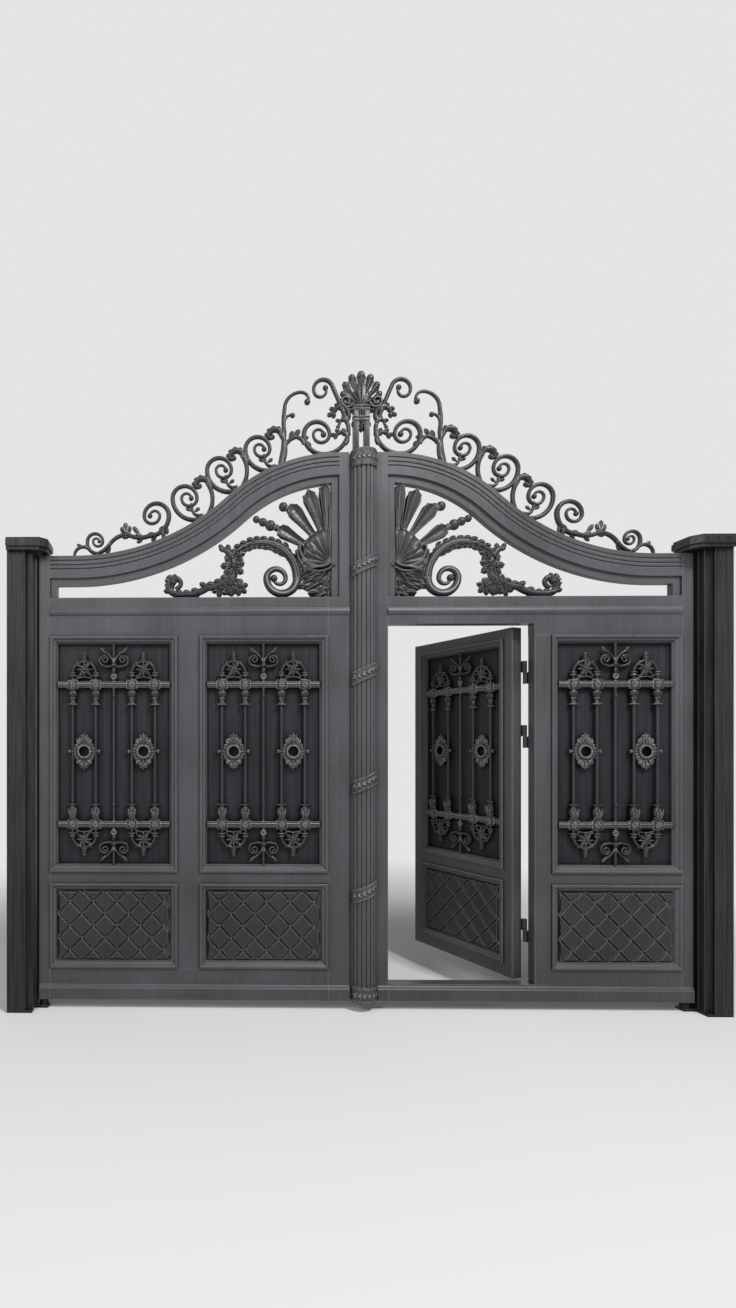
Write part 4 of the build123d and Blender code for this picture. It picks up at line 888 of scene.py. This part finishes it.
def grilleShapes():
    g = grilleSizes
    geo = newGeo()
    parts = dict(bulb=[], bell=[], vase=[], capital=[], bead=[], leaf=[])
    y, low, high, rosette = g["y"], g["railLow"], g["railHigh"], g["rosette"]

    def put(part, x, z, size, out=0.0, turn=unturned):
        addBead(parts[part], (x, z), size, y - out, turn)

    def leaf(x, z, angle, length, width, thick, out=0.0):
        addPlace(parts["leaf"], x, z, angle, length, width, thick, y - out)

    def bar(path, radii, depth=1.0, out=0.0, sides=10):
        addBar(geo, path, radii, y - out, depth, sides)

    def block(x, z, wide, thick, tall, chamfer):  # half sizes
        addBlock(geo, (x - wide, y - thick, z - tall), (x + wide, y + thick, z + tall), chamfer)

    for z in (low, high):
        block(0, z, g["inside"], 0.009, g["railHalf"], 0.003)
        block(0, z, g["inside"], 0.0105, 0.006, 0.002)
    for pair in (-g["pair"], g["pair"]):
        for side in (-1, 1):
            x = pair + side * g["half"]
            bar([(x, low), (x, 1.3), (x, 1.6), (x, high)], g["bar"])
            for z in (low, high):  # square bosses with a flower where bar and rail cross
                block(x, z, 0.0295, 0.0115, 0.0265, 0.004)
                for k in range(8):
                    leaf(x, z, 45 * k, 0.026, 0.016, 0.014, 0.0125)
                put("bead", x, z, (0.013, 0.012, 0.013), 0.015)
            put("bulb", x, high - 0.050, (0.052, 0.038, 0.050))
            put("bell", x, high - 0.094, (0.054, 0.038, 0.040))
            put("vase", x, low + 0.071, (0.054, 0.038, 0.084))
            for k in (-1, 1):
                leaf(x + k * 0.009, low + 0.036, 90 - k * 12, 0.056, 0.020, 0.014, 0.017)
            leaf(x, low + 0.032, 90, 0.060, 0.020, 0.016, 0.019)
            put("bead", x + side * 0.010, rosette, (0.034, 0.024, 0.018))
            put("bead", x + side * 0.020, rosette, (0.016, 0.020, 0.026))
        for z, up in ((high + g["railHalf"], 1), (low - g["railHalf"], -1)):
            spring = z + up * g["spring"]
            left, right = pair - g["arch"], pair + g["arch"]
            bar([(left, z), (left, (z + spring) / 2)]
                + arcPath((pair, spring), g["arch"], 180, 0 if up > 0 else 360)
                + [(right, (z + spring) / 2), (right, z)], 0.0085)
            for x in (left, right):
                put("capital", x, z + up * 0.040, (0.044, 0.032, 0.022),
                    turn=unturned if up > 0 else Matrix.Rotation(math.pi, 3, "X"))
            # the flower and the crossed loops inside the arch
            heart = z + up * 0.068
            for angle in (45, 135, 225, 315):
                end = around((pair, heart), 0.056, angle)
                knee = around(around((pair, heart), 0.032, angle), 0.009, angle + 62)
                bar(bendPath((pair, heart), knee, end), (0.0058, 0.005, 0.0038), 1.15)
                put("bead", *end, 0.015)
                leaf(pair, heart, angle, 0.040, 0.018, 0.018, 0.002)
            for angle in (0, 90, 180, 270):
                leaf(pair, heart, angle, 0.046, 0.017, 0.020, 0.002)
            put("bead", pair, heart, (0.020, 0.024, 0.020), 0.004)
            ends = [(pair + side * 0.056, z + up * 0.008) for side in (-1, 1)]
            bar(bendPath(ends[0], (pair, z + up * 0.026), ends[1]), 0.0045, 1.15)
            # the ribbed finial on the arch
            top = spring + up * g["arch"]
            bar([(pair, top), (pair, top + up * 0.022), (pair, top + up * 0.047)], 0.0075)
            for k, size in enumerate((0.036, 0.030, 0.026, 0.022)):
                put("bead", pair, top + up * (0.008 + 0.0115 * k), (size, size * 0.7, 0.011))
        # the rosette: a ring with leaves all round
        bar(arcPath((pair, rosette), 0.040, 0, 360, 12), 0.0085, 1.1, 0.002)
        bar(arcPath((pair, rosette), 0.0325, 0, 360, 12), 0.0038, 1.0, 0.008, 8)
        for k in range(20):
            length = 0.026 + 0.024 * abs(math.sin(math.radians(18 * k))) ** 3
            leaf(*around((pair, rosette), 0.038, 18 * k), 18 * k, length, 0.024, 0.018)
        for up in (-1, 1):
            for lean, out, length in ((-34, 0.055, 0.030), (34, 0.055, 0.030), (-12, 0.068, 0.030),
                                      (12, 0.068, 0.030), (0, 0.066, 0.040)):
                place = around((pair, rosette), out, 90 * up + lean * 0.8)
                leaf(*place, 90 * up + lean, length, 0.020, 0.018)
    # the centre bar with its studs, and the scrolled ornament at both ends
    bar([(0, g["low"]), (0, 1.2), (0, 1.6), (0, g["high"])], 0.0072)
    for z in g["studs"]:
        put("bead", 0, z, (0.020, 0.020, 0.022), 0.004)
    for z, up in ((high, 1), (low, -1)):
        knob = z + up * 0.122
        bar(arcPath((0, z + up * 0.046), 0.0125, 0, 360, 15), 0.0052, 1.1, 0.003, 8)
        put("bead", 0, knob - up * 0.012, (0.034, 0.030, 0.026), 0.002)
        put("bead", 0, z + up * 0.076, (0.024, 0.024, 0.040), 0.002)
        for side in (-1, 1):
            curl = chain(bendPath((0, knob - up * 0.010), (side * 0.026, knob - up * 0.020),
                                  (side * 0.052, knob - up * 0.016)),
                         volutePath((side * 0.052, knob + up * 0.012), 0.028, 180 + up * 90, side * up,
                                    shrink=0.62))
            bar(curl, (0.0074, 0.0074, 0.0045), 1.1)
            put("bead", *curl[-1], (0.017, 0.018, 0.017))
            tail = bendPath((0, knob - up * 0.004), (side * 0.026, knob + up * 0.044),
                            (side * 0.066, knob + up * 0.072))
            bar(tail, (0.0064, 0.006, 0.004), 1.1)
            leaf(side * 0.050, knob + up * 0.058, 180 - up * (90 + side * 40), 0.040, 0.018, 0.014)
    return geo, parts


grilleGeo, grilleParts = grilleShapes()
for bayName, body, node, centre, turn in bays:
    shift = turn @ Matrix.Translation((centre, 0, 0))
    castPiece(bayName + "GrilleBars", turned(grilleGeo, shift), body, node)
    for part, places in grilleParts.items():
        moved = [(tuple(shift @ Vector(p)), shift.to_3x3() @ m, s) for p, m, s in places]
        setCopies(bayName + "Grille" + part.capitalize(), "smallLobe" if part == "leaf" else part, moved, body)
print("stage: grilles done")


# quilted lower panels and the dark sheets behind the grilles

quilt = dict(pitch=0.132, ratio=0.9635, groove=0.0085, depth=0.0100, face=0.0195, low=0.274, high=0.661,
             moulding=0.045, shift=0.018, lines=8, smallest=0.0012)  # smaller fields stay flat
sheetSizes = dict(thick=0.0046, low=0.810, high=2.052, moulding=0.044, chamfer=0.0005)
bayWidths = dict(leftOuter=0.719, leftInner=0.721, right=0.719, wicket=0.671)


def quiltGeo(width):
    # a field cut into raised diamonds by grooves in two directions, the same on both faces of the leaf
    q = quilt
    work = bmesh.new()
    work.faces.new([work.verts.new((x, 0, z)) for x, z in (
        (-width / 2, q["low"]), (width / 2, q["low"]), (width / 2, q["high"]), (-width / 2, q["high"]))])
    centre = (q["low"] + q["high"]) / 2
    for way in (-1, 1):
        normal = Vector((1, 0, way * q["ratio"])).normalized()
        for k in range(-q["lines"], q["lines"] + 1):
            bmesh.ops.bisect_plane(work, geom=work.verts[:] + work.edges[:] + work.faces[:],
                                   plane_co=(k * q["pitch"] + q["shift"], 0, centre), plane_no=normal)
    large = [f for f in work.faces if f.calc_area() > q["smallest"]]
    bmesh.ops.inset_individual(work, faces=large, thickness=q["groove"], depth=q["depth"], use_even_offset=True)
    work.verts.index_update()
    verts = [(v.co.x, v.co.y - q["face"], v.co.z) for v in work.verts]
    count = len(verts)
    verts += [(x, -y, z) for x, y, z in verts]
    faces = [tuple(v.index for v in f.verts) for f in work.faces]
    faces += [tuple(i + count for i in face[::-1]) for face in faces]
    for edge in work.edges:
        if edge.is_boundary:
            a, b = (v.index for v in edge.verts)
            faces.append((a, b, b + count, a + count))
    work.free()
    return dict(verts=verts, faces=faces)


for bayName, body, node, centre, turn in bays:
    shift = turn @ Matrix.Translation((centre, 0, 0))
    width = bayWidths[bayName]
    field = meshFrom(bayName + "Quilt", turned(quiltGeo(width - 2 * quilt["moulding"]), shift), smooth=False)
    finishPiece(field, "panelCoat", body)
    s = sheetSizes
    half = width / 2 - s["moulding"]
    sheet = newGeo()
    addBlock(sheet, (-half, -s["thick"], s["low"]), (half, s["thick"], s["high"]), s["chamfer"])
    finishPiece(meshFrom(bayName + "Sheet", turned(sheet, shift)), "sheetCoat", body)
print("stage: panels done")


# camera, light and stage

view = dict(x=middle - 1.034, y=-3.673, z=1.482, turn=0.85, lens=17.83, shiftX=0.152, shiftY=0.0696)
camData = bpy.data.cameras.new("camera")
camera = newObject("camera", camData)
camera.location = (view["x"], view["y"], view["z"])
camera.rotation_euler = (math.radians(90), 0, math.radians(view["turn"]))
camData.sensor_width = 36.0
camData.lens = view["lens"]
camData.shift_x = view["shiftX"]
camData.shift_y = view["shiftY"]
bpy.context.scene.camera = camera

lighting = dict(
    world=0.32, skyColour=(0.9, 0.92, 0.95, 1), backdrop=0.78, aim=1.4,
    keyPlace=(3.0, -5.0, 8.2), keyPower=700.0, keySize=1.8, sidePlace=(-5.5, -6.0, 5.5), sidePower=330.0,
    sideSize=3.0, floor=0.70, floorEdges=(-40, -40, 44, 60), fadeStart=2.6, fadeEnd=5.4,
)
world = bpy.data.worlds.new("studio")
bpy.context.scene.world = world
world.use_nodes = True
tree = world.node_tree
background = tree.nodes["Background"]
feed(tree, background, {"Color": lighting["skyColour"], "Strength": lighting["world"]})
seen = addNode(tree, "ShaderNodeBackground", (0, -200), {
    "Color": (*[lighting["backdrop"]] * 3, 1), "Strength": 1.0})
rays = addNode(tree, "ShaderNodeLightPath", (-600, 300)).outputs
seenBy = addMath(tree, (-400, 300), "ADD", rays["Is Camera Ray"], rays["Is Glossy Ray"])
seenBy = addMath(tree, (-200, 300), "ADD", seenBy, rays["Is Transmission Ray"], use_clamp=True)
mixer = addNode(tree, "ShaderNodeMixShader", (250, 0), {
    0: seenBy, 1: background.outputs[0], 2: seen.outputs[0]})
feed(tree, tree.nodes["World Output"], {"Surface": mixer.outputs[0]})

for name in ("key", "side"):
    data = bpy.data.lights.new(name + "Lamp", "AREA")
    data.energy = lighting[name + "Power"]
    data.shape = "SQUARE"
    data.size = lighting[name + "Size"]
    lamp = newObject(name + "Lamp", data)
    x, y, z = lighting[name + "Place"]
    lamp.location = (middle + x, y, z)
    aim = Vector((middle, 0, lighting["aim"]))
    lamp.rotation_euler = (aim - Vector((middle + x, y, z))).to_track_quat("-Z", "Y").to_euler()

west, south, east, north = lighting["floorEdges"]
corners = [(west, south, 0), (east, south, 0), (east, north, 0), (west, north, 0)]
floor = meshFrom("floor", dict(verts=corners, faces=[(0, 1, 2, 3)]), smooth=False)
floorCoat = bpy.data.materials.new("paleFloor")
floorCoat.use_nodes = True
tree = floorCoat.node_tree
spot = addNode(tree, "ShaderNodeTexCoord", (-1200, 0)).outputs["Object"]
away = addNode(tree, "ShaderNodeVectorMath", (-1000, 0), {0: spot, 1: (middle, 0.0, 0.0)}, operation="DISTANCE")
fade = addRange(tree, (-800, 0), away.outputs["Value"], lighting["fadeStart"], lighting["fadeEnd"],
                interpolation_type="SMOOTHSTEP")  # far from the gate the floor takes the backdrop's colour
tone = addNode(tree, "ShaderNodeMix", (-500, 100), {
    0: fade, 6: (*[lighting["floor"]] * 3, 1), 7: (0, 0, 0, 1)}, data_type="RGBA")
glow = addMath(tree, (-500, -200), "MULTIPLY", fade, lighting["backdrop"])
feed(tree, tree.nodes["Principled BSDF"], {
    "Base Color": tone.outputs[2], "Roughness": 0.9, "Specular IOR Level": 0.0,
    "Emission Color": (1, 1, 1, 1), "Emission Strength": glow})
floor.data.materials.append(floorCoat)
bpy.context.scene.view_settings.view_transform = "Standard"

for shape in shapes.values():
    bpy.data.objects.remove(shape)
print("stage: camera and light set")
